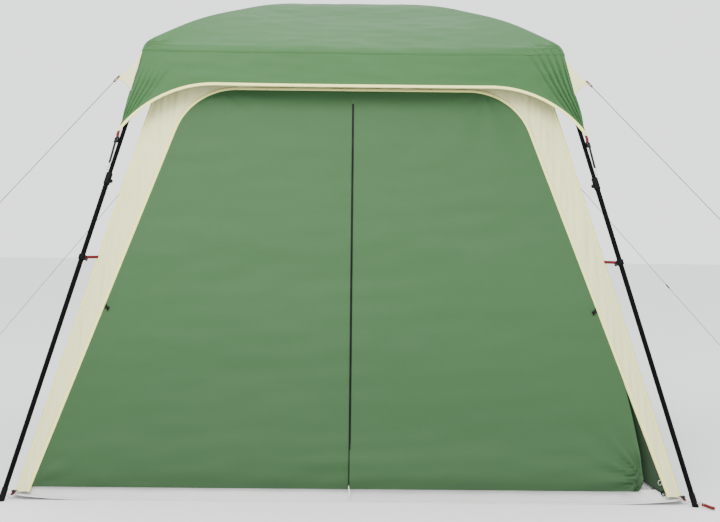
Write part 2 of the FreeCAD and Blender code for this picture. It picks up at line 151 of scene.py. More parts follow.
class Nodes:
    """A short way to write a node material, kept in MATERIALS under its name."""

    def __init__(self, name, color, roughness, metallic=0.0, specular=0.5):
        self.material = MATERIALS[name] = bpy.data.materials.new(name)
        self.material.use_nodes = True
        self.tree = self.material.node_tree
        self.shader = self.tree.nodes["Principled BSDF"]
        self.shader.inputs["Base Color"].default_value = (*color, 1)
        self.shader.inputs["Roughness"].default_value = roughness
        self.shader.inputs["Metallic"].default_value = metallic
        self.shader.inputs["Specular IOR Level"].default_value = specular
        self.place = self.node("ShaderNodeTexCoord", "Object", {})

    def feed(self, socket, value):
        """Joins a socket to another one, or sets its constant."""
        if isinstance(value, bpy.types.NodeSocket):
            self.tree.links.new(value, socket)
        else:
            socket.default_value = value

    def node(self, kind, output, inputs, **settings):
        """A new node's output, with its inputs fed."""
        node = self.tree.nodes.new(kind)
        for key, value in settings.items():
            setattr(node, key, value)
        for name, value in inputs.items():
            self.feed(node.inputs[name], value)
        return node.outputs[output]

    def so_far(self, name):
        """What feeds one of the shader's inputs: a socket, or a constant colour."""
        socket = self.shader.inputs[name]
        return socket.links[0].from_socket if socket.is_linked else tuple(socket.default_value)

    def stretched(self, scale):
        return self.node("ShaderNodeMapping", "Vector", {"Scale": scale, "Vector": self.place})

    def height(self):
        """Height above the ground, in metres."""
        return self.node("ShaderNodeSeparateXYZ", "Z", {"Vector": self.place})

    def noise(self, scale, detail=3.0, rough=0.5, source=None):
        return self.node("ShaderNodeTexNoise", "Fac", {"Scale": scale, "Detail": detail, "Roughness": rough,
                                                       "Vector": source or self.place})

    def wave(self, scale, direction):
        return self.node("ShaderNodeTexWave", "Fac", {"Scale": scale, "Vector": self.place},
                         bands_direction=direction)

    def math(self, operation, *values):
        return self.node("ShaderNodeMath", 0, dict(enumerate(values)), operation=operation)

    def spread(self, fac, low, high, to_low=0.0, to_high=1.0):
        return self.node("ShaderNodeMapRange", "Result", {"Value": fac, "From Min": low, "From Max": high,
                                                          "To Min": to_low, "To Max": to_high}, clamp=True)

    def blend(self, kind, other, factor):
        """Mixes another colour into the base colour."""
        inputs = {"A": self.so_far("Base Color"), "B": other, "Factor": factor}
        mixed = self.node("ShaderNodeMix", "Result", inputs, data_type="RGBA", blend_type=kind)
        self.feed(self.shader.inputs["Base Color"], mixed)

    def tint(self, fac, other, amount=1.0):
        """Mixes the base colour towards another one, by fac times amount."""
        self.blend("MIX", (*other, 1), self.math("MULTIPLY", fac, amount))

    def shade(self, fac, low, high):
        """Multiplies the base colour by a factor between low and high."""
        level = self.spread(fac, 0.0, 1.0, low, high)
        grey = dict.fromkeys(("Red", "Green", "Blue"), level)
        self.blend("MULTIPLY", self.node("ShaderNodeCombineColor", "Color", grey), 1.0)

    def rough(self, fac, low, high):
        self.feed(self.shader.inputs["Roughness"], self.spread(fac, 0.0, 1.0, low, high))

    def bump(self, height, strength, distance):
        inputs = {"Strength": strength, "Distance": distance, "Height": height}
        if self.shader.inputs["Normal"].is_linked:
            inputs["Normal"] = self.so_far("Normal")
        self.feed(self.shader.inputs["Normal"], self.node("ShaderNodeBump", "Normal", inputs))


def cloth_material(name, color, deep, roughness, crease, specular=0.3, sheen=0.05, low_painted_shade=0.0):
    """Coated woven cloth: threads, soft creases, a slightly uneven dye, and painted shade that darkens it
    towards the ground.
    """
    n = Nodes(name, color, roughness, specular=specular)
    n.shader.inputs["Sheen Weight"].default_value = sheen
    n.shader.inputs["Sheen Roughness"].default_value = 0.45
    n.tint(n.spread(n.noise(1.3, 4), 0.3, 0.75), deep, 0.45)
    n.shade(n.noise(38.0, 5, 0.65), 0.95, 1.05)
    # Painted shade: the colour darkens towards the ground, and more in an uneven band just above the foot.
    if low_painted_shade:
        n.shade(n.spread(n.height(), 0.0, 0.9), 1 - low_painted_shade, 1.0)
        uneven = n.math("ADD", n.height(), n.math("MULTIPLY", n.noise(5.0, 3), 0.05))
        n.shade(n.spread(uneven, 0.060, 0.150), 1 - 1.2 * low_painted_shade, 1.0)
    n.rough(n.noise(6.0, 3), roughness - 0.07, roughness + 0.07)
    n.bump(n.noise(1.0, 4, 0.55, n.stretched((3.0, 3.0, 11.0))), crease, 0.012)
    n.bump(n.noise(26.0, 4, 0.6), crease * 0.35, 0.004)
    threads = [n.wave(THREADS_PER_METRE, axis) for axis in "XYZ"]
    n.bump(n.math("ADD", n.math("ADD", *threads[:2]), threads[2]), 0.25, 0.0003)


def tape_material(name, color, thread, stitch=None):
    """Woven tape: ribs across it, and two rows of stitches if stitch gives their colour."""
    n = Nodes(name, color, 0.7, specular=0.25)
    uv = n.node("ShaderNodeTexCoord", "UV", {})
    along, across = (n.node("ShaderNodeSeparateXYZ", axis, {"Vector": uv}) for axis in "XY")
    n.shade(n.noise(60.0, 4), 0.90, 1.06)
    n.bump(n.math("SINE", n.math("MULTIPLY", along, 2 * math.pi / thread)), 0.35, 0.0004)
    n.bump(n.noise(240.0, 2), 0.2, 0.0004)
    if stitch:
        row = n.math("COMPARE", n.math("ABSOLUTE", across), STITCH_ROW, 0.05)
        dash = n.math("GREATER_THAN", n.math("FRACT", n.math("MULTIPLY", along, 1 / STITCH_LENGTH)), 0.35)
        seam = n.math("MULTIPLY", row, dash)
        n.tint(seam, stitch)
        n.bump(seam, 0.5, 0.0006)


def hard_material(name, color, roughness, clouds, polish, grain, specular=0.5, metallic=0.0, way=None):
    """A hard surface. Clouds, polish and grain: a noise's scale and detail, and its effect's two values."""
    n = Nodes(name, color, roughness, metallic, specular)
    n.shade(n.noise(*clouds[:2]), *clouds[2:])
    n.rough(n.noise(*polish[:2]), *polish[2:])
    drawn = (0.6, n.stretched(way)) if way else ()
    n.bump(n.noise(*grain[:2], *drawn), *grain[2:])
    return n


def sheet_material(name, color):
    """Woven polyethylene floor sheet: flat tapes both ways under a thin coat."""
    n = Nodes(name, color, 0.5)
    tapes = n.math("MULTIPLY", n.wave(62.0, "X"), n.wave(62.0, "Y"))
    n.shade(n.noise(9.0, 5), 0.9, 1.06)
    n.shade(tapes, 0.94, 1.03)
    n.rough(n.noise(12.0, 3), 0.38, 0.6)
    n.bump(tapes, 0.3, 0.0005)
    n.bump(n.noise(7.0, 4), 0.35, 0.006)


def cord_material(name, color):
    """Braided line: two families of strands crossing round it."""
    n = Nodes(name, color, 0.75, specular=0.15)
    braid = n.math("MULTIPLY", n.wave(190.0, "DIAGONAL"), n.wave(150.0, "Z"))
    n.shade(braid, 0.75, 1.15)
    n.bump(braid, 0.5, 0.0005)


THREADS_PER_METRE, STITCH_ROW, STITCH_LENGTH = 520, 0.78, 0.005
FINE_RIB, COARSE_RIB = 0.0016, 0.0022
GREEN, DEEP_GREEN = (0.047, 0.128, 0.044), (0.037, 0.106, 0.035)
# The inner greens are painted far darker than the panel's green, as the shade in the gap at the front right.
PANEL_GREEN, SHADED_INNER_GREEN, SHADED_DEEP_INNER = (0.040, 0.104, 0.038), (0.012, 0.034, 0.012), (0.009, 0.026, 0.009)
CREAM, DEEP_CREAM = (0.81, 0.80, 0.43), (0.72, 0.69, 0.33)

cloth_material("fly_cloth", GREEN, DEEP_GREEN, 0.56, 0.20, specular=0.16)
# The panel's cloth carries painted shade that darkens it towards its foot.
cloth_material("panel_cloth", PANEL_GREEN, DEEP_GREEN, 0.58, 0.16, specular=0.22, low_painted_shade=0.22)
# Painted shade: the inner layer's cloth is made dark for the shade in the gap behind the drawn-in leaf.
cloth_material("shaded_inner_cloth", SHADED_INNER_GREEN, SHADED_DEEP_INNER, 0.62, 0.16)
cloth_material("cream_cloth", CREAM, DEEP_CREAM, 0.62, 0.18, sheen=0.1)
tape_material("cream_tape", (0.95, 0.93, 0.36), FINE_RIB, stitch=(0.70, 0.64, 0.24))
tape_material("green_tape", (0.038, 0.113, 0.034), FINE_RIB, stitch=(0.044, 0.126, 0.040))
tape_material("red_webbing", (0.125, 0.003, 0.007), COARSE_RIB, stitch=(0.20, 0.012, 0.012))
tape_material("black_webbing", (0.004, 0.004, 0.0045), COARSE_RIB, stitch=(0.02, 0.02, 0.022))
tape_material("pull_cord", (0.72, 0.70, 0.62), 0.0018)
for material_name, black, matt in (("black_plastic", (0.0035, 0.0035, 0.004), 0.45),
                                   ("black_hub_plastic", (0.022, 0.022, 0.024), 0.5),
                                   ("button_plastic", (0.035, 0.035, 0.038), 0.33)):
    hard_material(material_name, black, matt, (45.0, 4, 0.85, 1.15), (30.0, 3, matt - 0.08, matt + 0.1),
                  (900.0, 2, 0.12, 0.0003), specular=0.08)
hard_material("zip_black", (0.004, 0.004, 0.0045), 0.5, (120.0, 3, 0.8, 1.3), (70.0, 3, 0.28, 0.48),
              (600.0, 2, 0.15, 0.0003), specular=0.15)
hard_material("steel", (0.60, 0.60, 0.58), 0.32, (80.0, 4, 0.82, 1.08), (40.0, 4, 0.22, 0.44),
              (1.0, 3, 0.1, 0.0002), metallic=1.0, way=(700, 700, 60))
coat = hard_material("black_powder_coat", (0.0022, 0.0022, 0.0028), 0.42, (14.0, 4, 0.8, 1.3),
                     (25.0, 4, 0.42, 0.60), (420.0, 2, 0.18, 0.0004), specular=0.045)
rubbed = coat.noise(1.0, 5, 0.7, coat.stretched((60, 60, 9)))
coat.tint(coat.spread(rubbed, 0.62, 0.8), (0.008, 0.008, 0.009), 0.5)
sheet_material("mat_sheet", (0.68, 0.69, 0.67))
cord_material("guy_cord", (0.055, 0.055, 0.052))


# ---------------------------------------------------------------- meshes

STEP = 1e-4  # for slopes taken as differences


def finished(obj, material, body, nodes=()):
    obj.data.materials.append(MATERIALS[material])
    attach(obj, body)
    if nodes:
        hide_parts(*nodes)
    return obj


def link(name, data):
    obj = bpy.data.objects.new(name, data)
    bpy.context.scene.collection.objects.link(obj)
    return obj


def even(count):
    return np.linspace(0, 1, count)


def unit(vectors):
    return vectors / np.linalg.norm(vectors, axis=-1, keepdims=True)


def lengths_along(points):
    """The length of a path from its start to each of its points."""
    return np.concatenate(([0], np.cumsum(np.linalg.norm(np.diff(points, axis=0), axis=1))))


def smooth(mesh, sharp=None):
    mesh.polygons.foreach_set("use_smooth", [True] * len(mesh.polygons))
    if sharp:
        mesh.set_sharp_from_angle(angle=math.radians(sharp))


def from_bmesh(name, bm, recalculate=True, rounded=True):
    """The finished mesh, as an object."""
    if recalculate:
        bmesh.ops.recalc_face_normals(bm, faces=bm.faces)
    mesh = bpy.data.meshes.new(name)
    bm.to_mesh(mesh)
    bm.free()
    if rounded:
        smooth(mesh)
    return link(name, mesh)


def bridge(bm, rows, closed=True):
    """Faces between neighbouring rows of vertices."""
    for before, after in zip(rows, rows[1:]):
        for i in range(len(before) - (not closed)):
            j = (i + 1) % len(before)
            bm.faces.new((before[i], before[j], after[j], after[i]))


def grid_mesh(name, points, coordinates, flip):
    """A mesh over a grid of points, with UV."""
    index = np.arange(points.shape[0] * points.shape[1]).reshape(points.shape[:2])
    a, b, c, d = index[:-1, :-1], index[:-1, 1:], index[1:, 1:], index[1:, :-1]
    quads = np.stack((a, d, c, b) if flip else (a, b, c, d), axis=-1).reshape(-1, 4)
    mesh = bpy.data.meshes.new(name)
    mesh.from_pydata(points.reshape(-1, 3).tolist(), [], quads.tolist())
    corner_vertex = np.zeros(len(mesh.loops), np.int32)
    mesh.loops.foreach_get("vertex_index", corner_vertex)
    layer = mesh.uv_layers.new(name="UVMap")
    layer.data.foreach_set("uv", coordinates.reshape(-1, 2)[corner_vertex].astype(np.float32).ravel())
    smooth(mesh)
    return mesh


def sheet_mesh(name, surface, first, second, outward):
    """A mesh over surface(first, second), with the surface's own normals, so that neighbours shade as one."""
    p, q = np.meshgrid(np.asarray(first, float), np.asarray(second, float))
    normals = np.cross(surface(p + STEP, q) - surface(p - STEP, q),
                       surface(p, q + STEP) - surface(p, q - STEP))
    lengths = np.linalg.norm(normals, axis=-1, keepdims=True)
    normals = normals / np.maximum(lengths, 1e-14)
    outward = np.array(outward, float)
    flip = float(normals[normals.shape[0] // 2, normals.shape[1] // 2] @ outward) < 0
    normals = np.where(lengths > 1e-14, -normals if flip else normals, outward / np.linalg.norm(outward))
    mesh = grid_mesh(name, surface(p, q), np.stack((p, q), axis=-1), flip)
    mesh.normals_split_custom_set_from_vertices(normals.reshape(-1, 3).tolist())
    return link(name, mesh)


TAPE_OUTLINE = ((-1, 0), (-0.97, 0.8), (-0.8, 1), (0.8, 1), (0.97, 0.8), (1, 0),
                (0.97, -0.8), (0.8, -1), (-0.8, -1), (-0.97, -0.8))


def ribbon(name, points, sides, normals, width, thickness):
    """A flat tape along points: width across sides, rounded edges, UV in metres along and -1..1 across."""
    bm = bmesh.new()
    layer = bm.loops.layers.uv.new("UVMap")
    rings, where = [], {}
    for point, side, normal, length in zip(points, sides, normals, lengths_along(points)):
        ring = []
        for across, high in TAPE_OUTLINE:
            vertex = bm.verts.new(point + side * across * width / 2 + normal * high * thickness / 2)
            where[vertex] = (length, across)
            ring.append(vertex)
        rings.append(ring)
    bridge(bm, rings)
    bm.faces.new(rings[0])
    bm.faces.new(rings[-1][::-1])
    bmesh.ops.recalc_face_normals(bm, faces=bm.faces)
    for face in bm.faces:
        for loop in face.loops:
            loop[layer].uv = where[loop.vert]
    obj = from_bmesh(name, bm, recalculate=False)
    smooth(obj.data, sharp=50)
    return obj


def path_frame(points, normal):
    """For a path, the sideways and upward directions at each point, starting from a wanted normal."""
    points = np.array([tuple(p) for p in points], float)
    ways = unit(np.gradient(points, axis=0))
    sides = unit(np.cross(ways, np.array(normal, float)))
    return points, sides, np.cross(sides, ways)


def tape(name, points, normal, width, thickness, on_edge=False):
    """A tape along a path, lying flat against the wanted normal, or standing on edge along it."""
    points, sides, normals = path_frame(points, normal)
    if on_edge:
        sides, normals = normals, sides
    return ribbon(name, points, sides, normals, width, thickness)


def trail(start, axes, steps):
    """The points reached from start by steps along the axes."""
    return [start + sum((axis * step for axis, step in zip(axes, point)), Vector()) for point in steps]


def swept(name, points, radius, sides=12, closed=False):
    """A round bar along a path, with domed ends."""
    points = np.array([tuple(p) for p in points], float)
    ways = unit(np.roll(points, -1, axis=0) - np.roll(points, 1, axis=0) if closed
                else np.gradient(points, axis=0))
    bm = bmesh.new()
    rings = []
    across = np.cross(ways[0], (0.31, 0.17, 0.93))
    for point, way in zip(points, ways):
        across = unit(across - way * (across @ way))
        other = np.cross(way, across)
        angles = [2 * math.pi * i / sides for i in range(sides)]
        rings.append([bm.verts.new(point + radius * (across * math.cos(a) + other * math.sin(a)))
                      for a in angles])
    bridge(bm, rings + rings[:1] if closed else rings)
    if not closed:
        for ring, point, way in ((rings[0], points[0], -ways[0]), (rings[-1], points[-1], ways[-1])):
            tip = bm.verts.new(point + way * radius * 0.6)
            for i in range(sides):
                bm.faces.new((ring[i], ring[(i + 1) % sides], tip))
    return from_bmesh(name, bm)


def rounded_block(name, outline, thickness, origin, right, up, bevel, holes=()):
    """A moulded plate: an outline in the plane of right and up, with rounded edges and through holes."""
    right, up = Vector(right).normalized(), Vector(up).normalized()
    curve = bpy.data.curves.new(name, "CURVE")
    curve.dimensions, curve.fill_mode = "2D", "BOTH"
    curve.extrude = thickness / 2 - bevel
    curve.bevel_depth, curve.bevel_resolution = bevel, 2
    for points in (outline, *holes):
        spline = curve.splines.new("POLY")
        spline.points.add(len(points) - 1)
        for spline_point, (x, y) in zip(spline.points, points):
            spline_point.co = (x, y, 0, 1)
        spline.use_cyclic_u = True
    scratch = bpy.data.objects.new(name + "_curve", curve)
    mesh = bpy.data.meshes.new_from_object(scratch)
    bpy.data.objects.remove(scratch)
    mesh.transform(axes_at(Vector(origin), right, up, right.cross(up)))
    smooth(mesh, sharp=40)
    return link(name, mesh)

def rounded_rectangle(width, height, radius, count=5):
    """The outline of a rounded rectangle about the origin."""
    points = []
    for sx, sy, start in ((1, 1, 0), (-1, 1, 90), (-1, -1, 180), (1, -1, 270)):
        for i in range(count + 1):
            a = math.radians(start + 90 * i / count)
            points.append((sx * (width / 2 - radius) + radius * math.cos(a),
                           sy * (height / 2 - radius) + radius * math.sin(a)))
    return points


def circle(radius, x=0.0, y=0.0, count=16):
    angles = [-2 * math.pi * i / count for i in range(count)]
    return [(x + radius * math.cos(a), y + radius * math.sin(a)) for a in angles]


def polyline(points, count):
    """Points spread evenly along a smooth curve through the given ones."""
    points = np.array([tuple(p) for p in points], float)
    ext = np.vstack((2 * points[0] - points[1], points, 2 * points[-1] - points[-2]))
    out = []
    for t in np.linspace(0, len(points) - 1, count):
        i = min(int(t), len(points) - 2)
        f, (a, b, c, d) = t - i, ext[i:i + 4]
        out.append(0.5 * (2 * b + (c - a) * f + (2 * a - 5 * b + 4 * c - d) * f ** 2
                          + (3 * b - a - 3 * c + d) * f ** 3))
    return np.array(out)


# ---------------------------------------------------------------- cloth shapes shared by all sides

def ramp(x, low, high):
    """0 below low, 1 above high, and a smooth rise between."""
    t = np.clip((x - low) / (high - low), 0, 1)
    return t * t * (3 - 2 * t)


def peak(x, middle, width):
    """A bell-shaped bump of height 1."""
    return np.exp(-((x - middle) / width) ** 2)


def soft_waves(x, y, seed, length, squeeze=1.0, count=10):
    """Gentle waves of about that length along y, and longer along x by squeeze. From about -1 to 1."""
    chance = np.random.default_rng(seed)
    total = np.zeros_like(x)
    for _ in range(count):
        angle = chance.uniform(0, 2 * math.pi)
        number = 2 * math.pi / (length * chance.uniform(0.65, 1.6))
        phase = chance.uniform(0, 2 * math.pi)
        total = total + np.sin(number * (x * math.cos(angle) / squeeze + y * math.sin(angle)) + phase)
    return total / math.sqrt(count)


def fan(across, along, folds, phase, reach):
    """Folds that run out from a pulled point, highest at reach from it."""
    share = np.sqrt(across ** 2 + along ** 2) / reach
    return np.cos(folds * np.arctan2(along, across) + phase) * share * np.exp(1 - share)


def in_place(side, u, out, z):
    """From a side's own coordinates to the frame's."""
    (ox, oy), (rx, ry), _ = SIDES[side]
    return np.stack((rx * u + ox * out, ry * u + oy * out, z + 0 * u), axis=-1)


def rounded_line(points, radii):
    """A line through points, with its inner corners rounded, as closely spaced points."""
    points = [np.array(p, float) for p in points]
    out = [points[0]]
    for before, corner, after, radius in zip(points, points[1:], points[2:], radii):
        back, on = unit(before - corner), unit(after - corner)
        half = math.acos(np.clip(back @ on, -1, 1)) / 2
        reach = radius / math.tan(half)
        centre = corner + unit(back + on) * radius / math.sin(half)
        start, end = corner + back * reach - centre, corner + on * reach - centre
        sweep = math.pi - 2 * half
        for t in even(25):
            spot = start * math.sin((1 - t) * sweep) + end * math.sin(t * sweep)
            out.append(centre + spot / math.sin(sweep))
    out.append(points[-1])
    return np.array(out)


PROFILE = rounded_line(FLY_LINE, FLY_ROUNDS)
PROFILE_LENGTH = lengths_along(PROFILE)
FLY_END = PROFILE_LENGTH[-1]
EAVE_AT, KNEE_AT = (float(np.interp(-z, -PROFILE[:, 1], PROFILE_LENGTH))
                    for z in (FLY_EAVE[1], FLY_LINE[1][1]))
PROFILE_NUDGE = 0.004


def profile(length):
    """Distance from the middle, height, and outward direction in side view, at a length from the centre."""
    def at(where):
        return np.array([np.interp(where, PROFILE_LENGTH, PROFILE[:, k]) for k in (0, 1)])

    way_x, way_z = at(length + PROFILE_NUDGE) - at(length - PROFILE_NUDGE)
    norm = np.sqrt(way_x ** 2 + way_z ** 2) + 1e-12
    return (*at(length), -way_z / norm, way_x / norm)


def fly_half(z):
    """Half the fly's width at a height below its eave."""
    (eave, eave_z), (tail, tail_z) = FLY_EAVE, FLY_TAIL
    return eave + (eave_z - z) / (eave_z - tail_z) * (tail - eave)


def hem_height(u):
    """Height of the hem at a distance from a side's middle: flat, then an arc, then straight to the tail."""
    middle, centre_z, radius = HEM_ARC
    beyond = np.clip(np.abs(u) - middle, 0, None)
    arc = centre_z + np.sqrt(radius ** 2 - np.minimum(beyond, HEM_ARC_END) ** 2)
    slope = HEM_ARC_END / math.sqrt(radius ** 2 - HEM_ARC_END ** 2)
    return arc - slope * np.clip(beyond - HEM_ARC_END, 0, None)


def hem_length(t):
    """The profile length at the hem, for a share t of the way from a side's middle to its corner."""
    z = np.full_like(t, 1.8)
    for _ in range(12):
        z = hem_height(t * fly_half(z))
    straight = math.hypot(FLY_TAIL[0] - FLY_EAVE[0], FLY_TAIL[1] - FLY_EAVE[1])
    return FLY_END - (z - FLY_TAIL[1]) / (FLY_EAVE[1] - FLY_TAIL[1]) * straight


def corner_pleats(corner, length, inward):
    """Pleats that run out from the tail's tip, beside the corner line."""
    height, phase, reach = PLEATS[corner]
    up = FLY_END - length + 0.012
    distance = np.sqrt(up ** 2 + inward ** 2)
    across = np.arctan2(inward, up) / PLEAT_SPREAD
    turns = PLEAT_COUNT * across ** 0.85 + phase + 0.12 * np.sin(17 * distance)
    ridge = 1.5 * np.abs(np.sin(np.pi * turns)) - 0.9
    inside = ramp(across, 0.0, 0.14) * (1 - ramp(across, 0.70, 1.15))
    along = ramp(distance, 0.05, 0.14) * (1 - ramp(distance, 0.6 * reach, 1.08 * reach))
    last = peak(across, 1.02, 0.13) * ramp(distance, 0.14, 0.26) * (1 - ramp(distance, 0.36, 0.44))
    return height * (ridge * inside * along - 0.7 * last)


def fly_relief(side, corner, u, length, half, hem):
    """How far the fly stands out from its smooth shape: soft folds along it, and pleats at its corner."""
    seed = 10 + list(SIDES).index(side)
    inward = np.clip(half - np.abs(u), 0, None)
    from_hip, near_hip = ramp(inward, 0.0, 0.10), ramp(inward, 0.0, 0.02)
    calm = ramp(hem - length, 0.010, 0.055)
    relief = 0.0030 * soft_waves(u, length, seed, 0.24, 4.5) * from_hip * (0.5 + 0.5 * calm)
    relief = relief + 0.0012 * soft_waves(u, length, seed + 20, 0.07, 4.0) * from_hip * calm
    relief = relief + corner_pleats(corner, length, inward) * calm
    past_seam = length - EAVE_AT + 0.012
    creases = np.cos(26.0 * np.arctan2(past_seam, inward + 0.02) + 2 * PLEATS[corner][1])
    at_seam = peak(past_seam, 0.0, 0.020 + 0.10 * inward)
    return relief + 0.0034 * at_seam * creases * near_hip * np.exp(-inward / 0.22)


def corner_wander(corner, z):
    """The corner's own line is not quite straight where the leg, the tab and the strap pull on it."""
    strength = 0.0035 * ramp(2.03 - z, 0.0, 0.08) * ramp(z, TAIL_TIP_Z + 0.03, TAIL_TIP_Z + 0.12)
    return strength * np.sin(z * 21 + 40 + list(CORNERS).index(corner))


def hip_bulge(t, length):
    """The cloth rides high over the arm's end, then turns down sharply to the seam."""
    rise = ramp(length, KNEE_AT, EAVE_AT - 0.10)
    fall = 1 - ramp(length, EAVE_AT - 0.050, EAVE_AT + 0.045)
    return HIP_LIFT * rise * fall * np.clip(t, 0, 1.2) ** 8


def fly_sag(half, length):
    """How far the cloth hangs below its profile, halfway between two hips."""
    roof = np.sin(np.pi * np.clip((half - 0.30) / (FLY_EAVE[0] - 0.30), 0, 1)) ** 2
    return ROOF_SAG * roof * (length < EAVE_AT) + EAVE_SAG * ramp(length, 0.0, EAVE_AT)


def fly_point(side, hand, t, length):
    """A point of the fly: t from 0 at the side's middle to 1 on the hip, length down its profile."""
    corner = corner_of(side, hand)
    half, z, out_x, out_z = profile(length)
    round_off = np.minimum(HIP_ROUND, 0.3 * half) + 1e-9
    straight = half - round_off
    along = t * (straight + round_off * math.pi / 4)
    angle = np.maximum(along - straight, 0) / round_off
    u = hand * np.where(along <= straight, along, straight + round_off * np.sin(angle))
    out = np.where(along <= straight, half, straight + round_off * np.cos(angle))
    z = z - np.clip(1 - t ** 2, 0, 1) * fly_sag(half, length)
    lift = hip_bulge(t, length)
    relief = fly_relief(side, corner, u, length, half, hem_length(t)) + lift
    wander = 0.7 * corner_wander(corner, z) * np.exp(-np.clip(half - np.abs(u), 0, None) / 0.05)
    u = u + hand * (wander + lift * out_x * np.clip(t, 0, 1.2) ** 16)
    return in_place(side, u, out + relief * out_x + wander, z + relief * out_z)


def spaced(*runs):
    """Even runs of values, one after another: each is (first, last, how many)."""
    return np.concatenate([np.linspace(*run) for run in runs])


COLUMNS = spaced((0, 0.86, 40), (0.87, 0.985, 16), (0.988, 1.0, 8))
VALANCE_COLUMNS = spaced((0, 0.84, 30), (0.845, 0.985, 62), (0.9865, 1.0, 10))
ROOF_ROWS = spaced((0.0, 0.30, 10), (0.33, 0.50, 10), (0.52, EAVE_AT - 0.03, 24),
                   (EAVE_AT - 0.025, EAVE_AT, 8))


def squash_to_leg(obj):
    """Gives cloth that hangs from a leg its own copy of its mesh."""
    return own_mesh(obj)


def squash_to_arm(obj):
    """Gives roof cloth its own copy of its mesh."""
    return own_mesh(obj)


def corner_of(side, hand):
    return SIDES[side][2][(hand + 1) // 2]


def side_halves():
    """Each half side: its name, its side, its outward direction, its hand and the corner beside it."""
    for side, (out, _, _) in SIDES.items():
        for hand_name, hand in HANDS.items():
            yield f"{side}_{hand_name}", side, out, hand, corner_of(side, hand)


def fly_pieces():
    """The roof's eight gores, the eight valance pieces, their hem binding and the eave's seam tape."""
    stands_for = ["fly"]
    for tag, side, out, hand, corner in side_halves():
        def gore(t, length):
            return fly_point(side, hand, t, length)

        def valance(t, share):
            return fly_point(side, hand, t, EAVE_AT + share * (hem_length(t) - EAVE_AT))

        piece = sheet_mesh(f"roof_{tag}", gore, COLUMNS, ROOF_ROWS, (0, 0, 1))
        finished(piece, "fly_cloth", f"arm_{corner}", stands_for)
        stands_for = []
        squash_to_arm(piece)

        piece = sheet_mesh(f"valance_{tag}", valance, VALANCE_COLUMNS, even(46), (*out, 0.4))
        finished(piece, "fly_cloth", f"upper_{corner}")
        squash_to_leg(piece)
        tapes = [hem_binding(tag, side, hand, corner), eave_seam(tag, side, hand, corner)]


# sections across the sewn tapes, as (down, out) from the line they follow
HEM_SECTION = ((-BINDING, 0.0002), (-BINDING + 0.0006, 0.0013), (-BINDING * 0.6, 0.0018), (-0.002, 0.0017),
               (0.0008, 0.0008), (0.0012, 0.0), (0.0008, -0.0008), (-0.002, -0.0012),
               (-BINDING * 0.9, -0.0012))
SEAM_SECTION = ((-0.005, 0.0), (-0.0045, 0.0004), (0.0, 0.0005), (0.0045, 0.0004), (0.005, 0.0))
PANEL_SECTION = ((-0.007, -0.0018), (-0.0066, 0.0), (-0.003, 0.0008), (0.003, 0.0008), (0.0066, 0.0),
                 (0.007, -0.0030))
CORNER_SECTION = ((-0.005, -0.0012), (-0.0045, 0.0), (0.0, 0.0006), (0.0045, 0.0), (0.005, -0.0012))


def sewn_tape(name, points, outwards, downs, section, corner,
              material="cream_tape"):
    """A tape laid along a curve. UV in metres along and -1..1 across."""
    section = np.array(section, float)
    low, high = section[:, 0].min(), section[:, 0].max()
    rows = points[None] + section[:, 0, None, None] * downs[None] + section[:, 1, None, None] * outwards[None]
    across = 2 * (section[:, 0] - low) / (high - low) - 1
    mesh = grid_mesh(name, rows, np.stack(np.meshgrid(lengths_along(points), across), axis=-1), False)
    bm = bmesh.new()
    bm.from_mesh(mesh)
    bpy.data.meshes.remove(mesh)
    piece = finished(from_bmesh(name, bm), material, f"upper_{corner}")
    squash_to_leg(piece)
    return piece


def facing(vectors, way):
    """The vectors, turned round where they face away from a direction."""
    return np.where(np.sum(vectors * np.array(way, float), axis=-1, keepdims=True) < 0, -vectors, vectors)


def on_fly(side, hand, t, length):
    """Points on the fly, with their outward directions."""
    points = fly_point(side, hand, t, length)
    down = fly_point(side, hand, t, length + STEP) - fly_point(side, hand, t, length - STEP)
    along = fly_point(side, hand, t + STEP, length) - fly_point(side, hand, t - STEP, length)
    return points, unit(np.cross(along, down) * hand)


def hem_binding(tag, side, hand, corner):
    """The cream binding folded over the hem."""
    points, out = on_fly(side, hand, VALANCE_COLUMNS, hem_length(VALANCE_COLUMNS))
    along = unit(np.gradient(points, axis=0))
    out = unit(out - along * np.sum(out * along, axis=-1, keepdims=True))
    out = facing(out, (*SIDES[side][0], 0.0))
    down = facing(np.cross(out, along), (0, 0, -1))
    return sewn_tape(f"hem_binding_{tag}", points, out, down, HEM_SECTION, corner)


def eave_seam(tag, side, hand, corner):
    """The flat double seam where the valance joins the roof."""
    t = COLUMNS[:-3]
    points, out = on_fly(side, hand, t, EAVE_AT + 0.022 + 0 * t)
    out = facing(out, (*SIDES[side][0], 0.4))
    down = facing(np.cross(out, unit(np.gradient(points, axis=0))), (0, 0, -1))
    return sewn_tape(f"eave_seam_{tag}", points, out, down, SEAM_SECTION, corner,
                     "green_tape")


# ---------------------------------------------------------------- walls

def wall_half(z):
    return WALL_FOOT - LEAN * z


def panel_outline():
    """The panel's edge in the wall's own plane: (u, z) from its foot up and round to the top's middle."""
    slope = 1 / math.cos(LEAN_ANGLE)
    corners = [(PANEL_FOOT_HALF - PANEL_SLOPE * z, z * slope) for z in (PANEL_BOTTOM_Z, PANEL_TOP_Z)]
    return rounded_line([*corners, (0, PANEL_TOP_Z * slope)], (PANEL_ROUND,)) / np.array((1.0, slope))


OUTLINE = panel_outline()
OUTLINE_LENGTH = lengths_along(OUTLINE)
OUTLINE_TURN = 0.5 * (OUTLINE_LENGTH[1] + OUTLINE_LENGTH[-2]) / OUTLINE_LENGTH[-1]


def outline_at(share):
    """The outline's point at a share of its length, from the foot to the middle of the top."""
    length = np.asarray(share) * OUTLINE_LENGTH[-1]
    return [np.interp(length, OUTLINE_LENGTH, OUTLINE[:, k]) for k in (0, 1)]


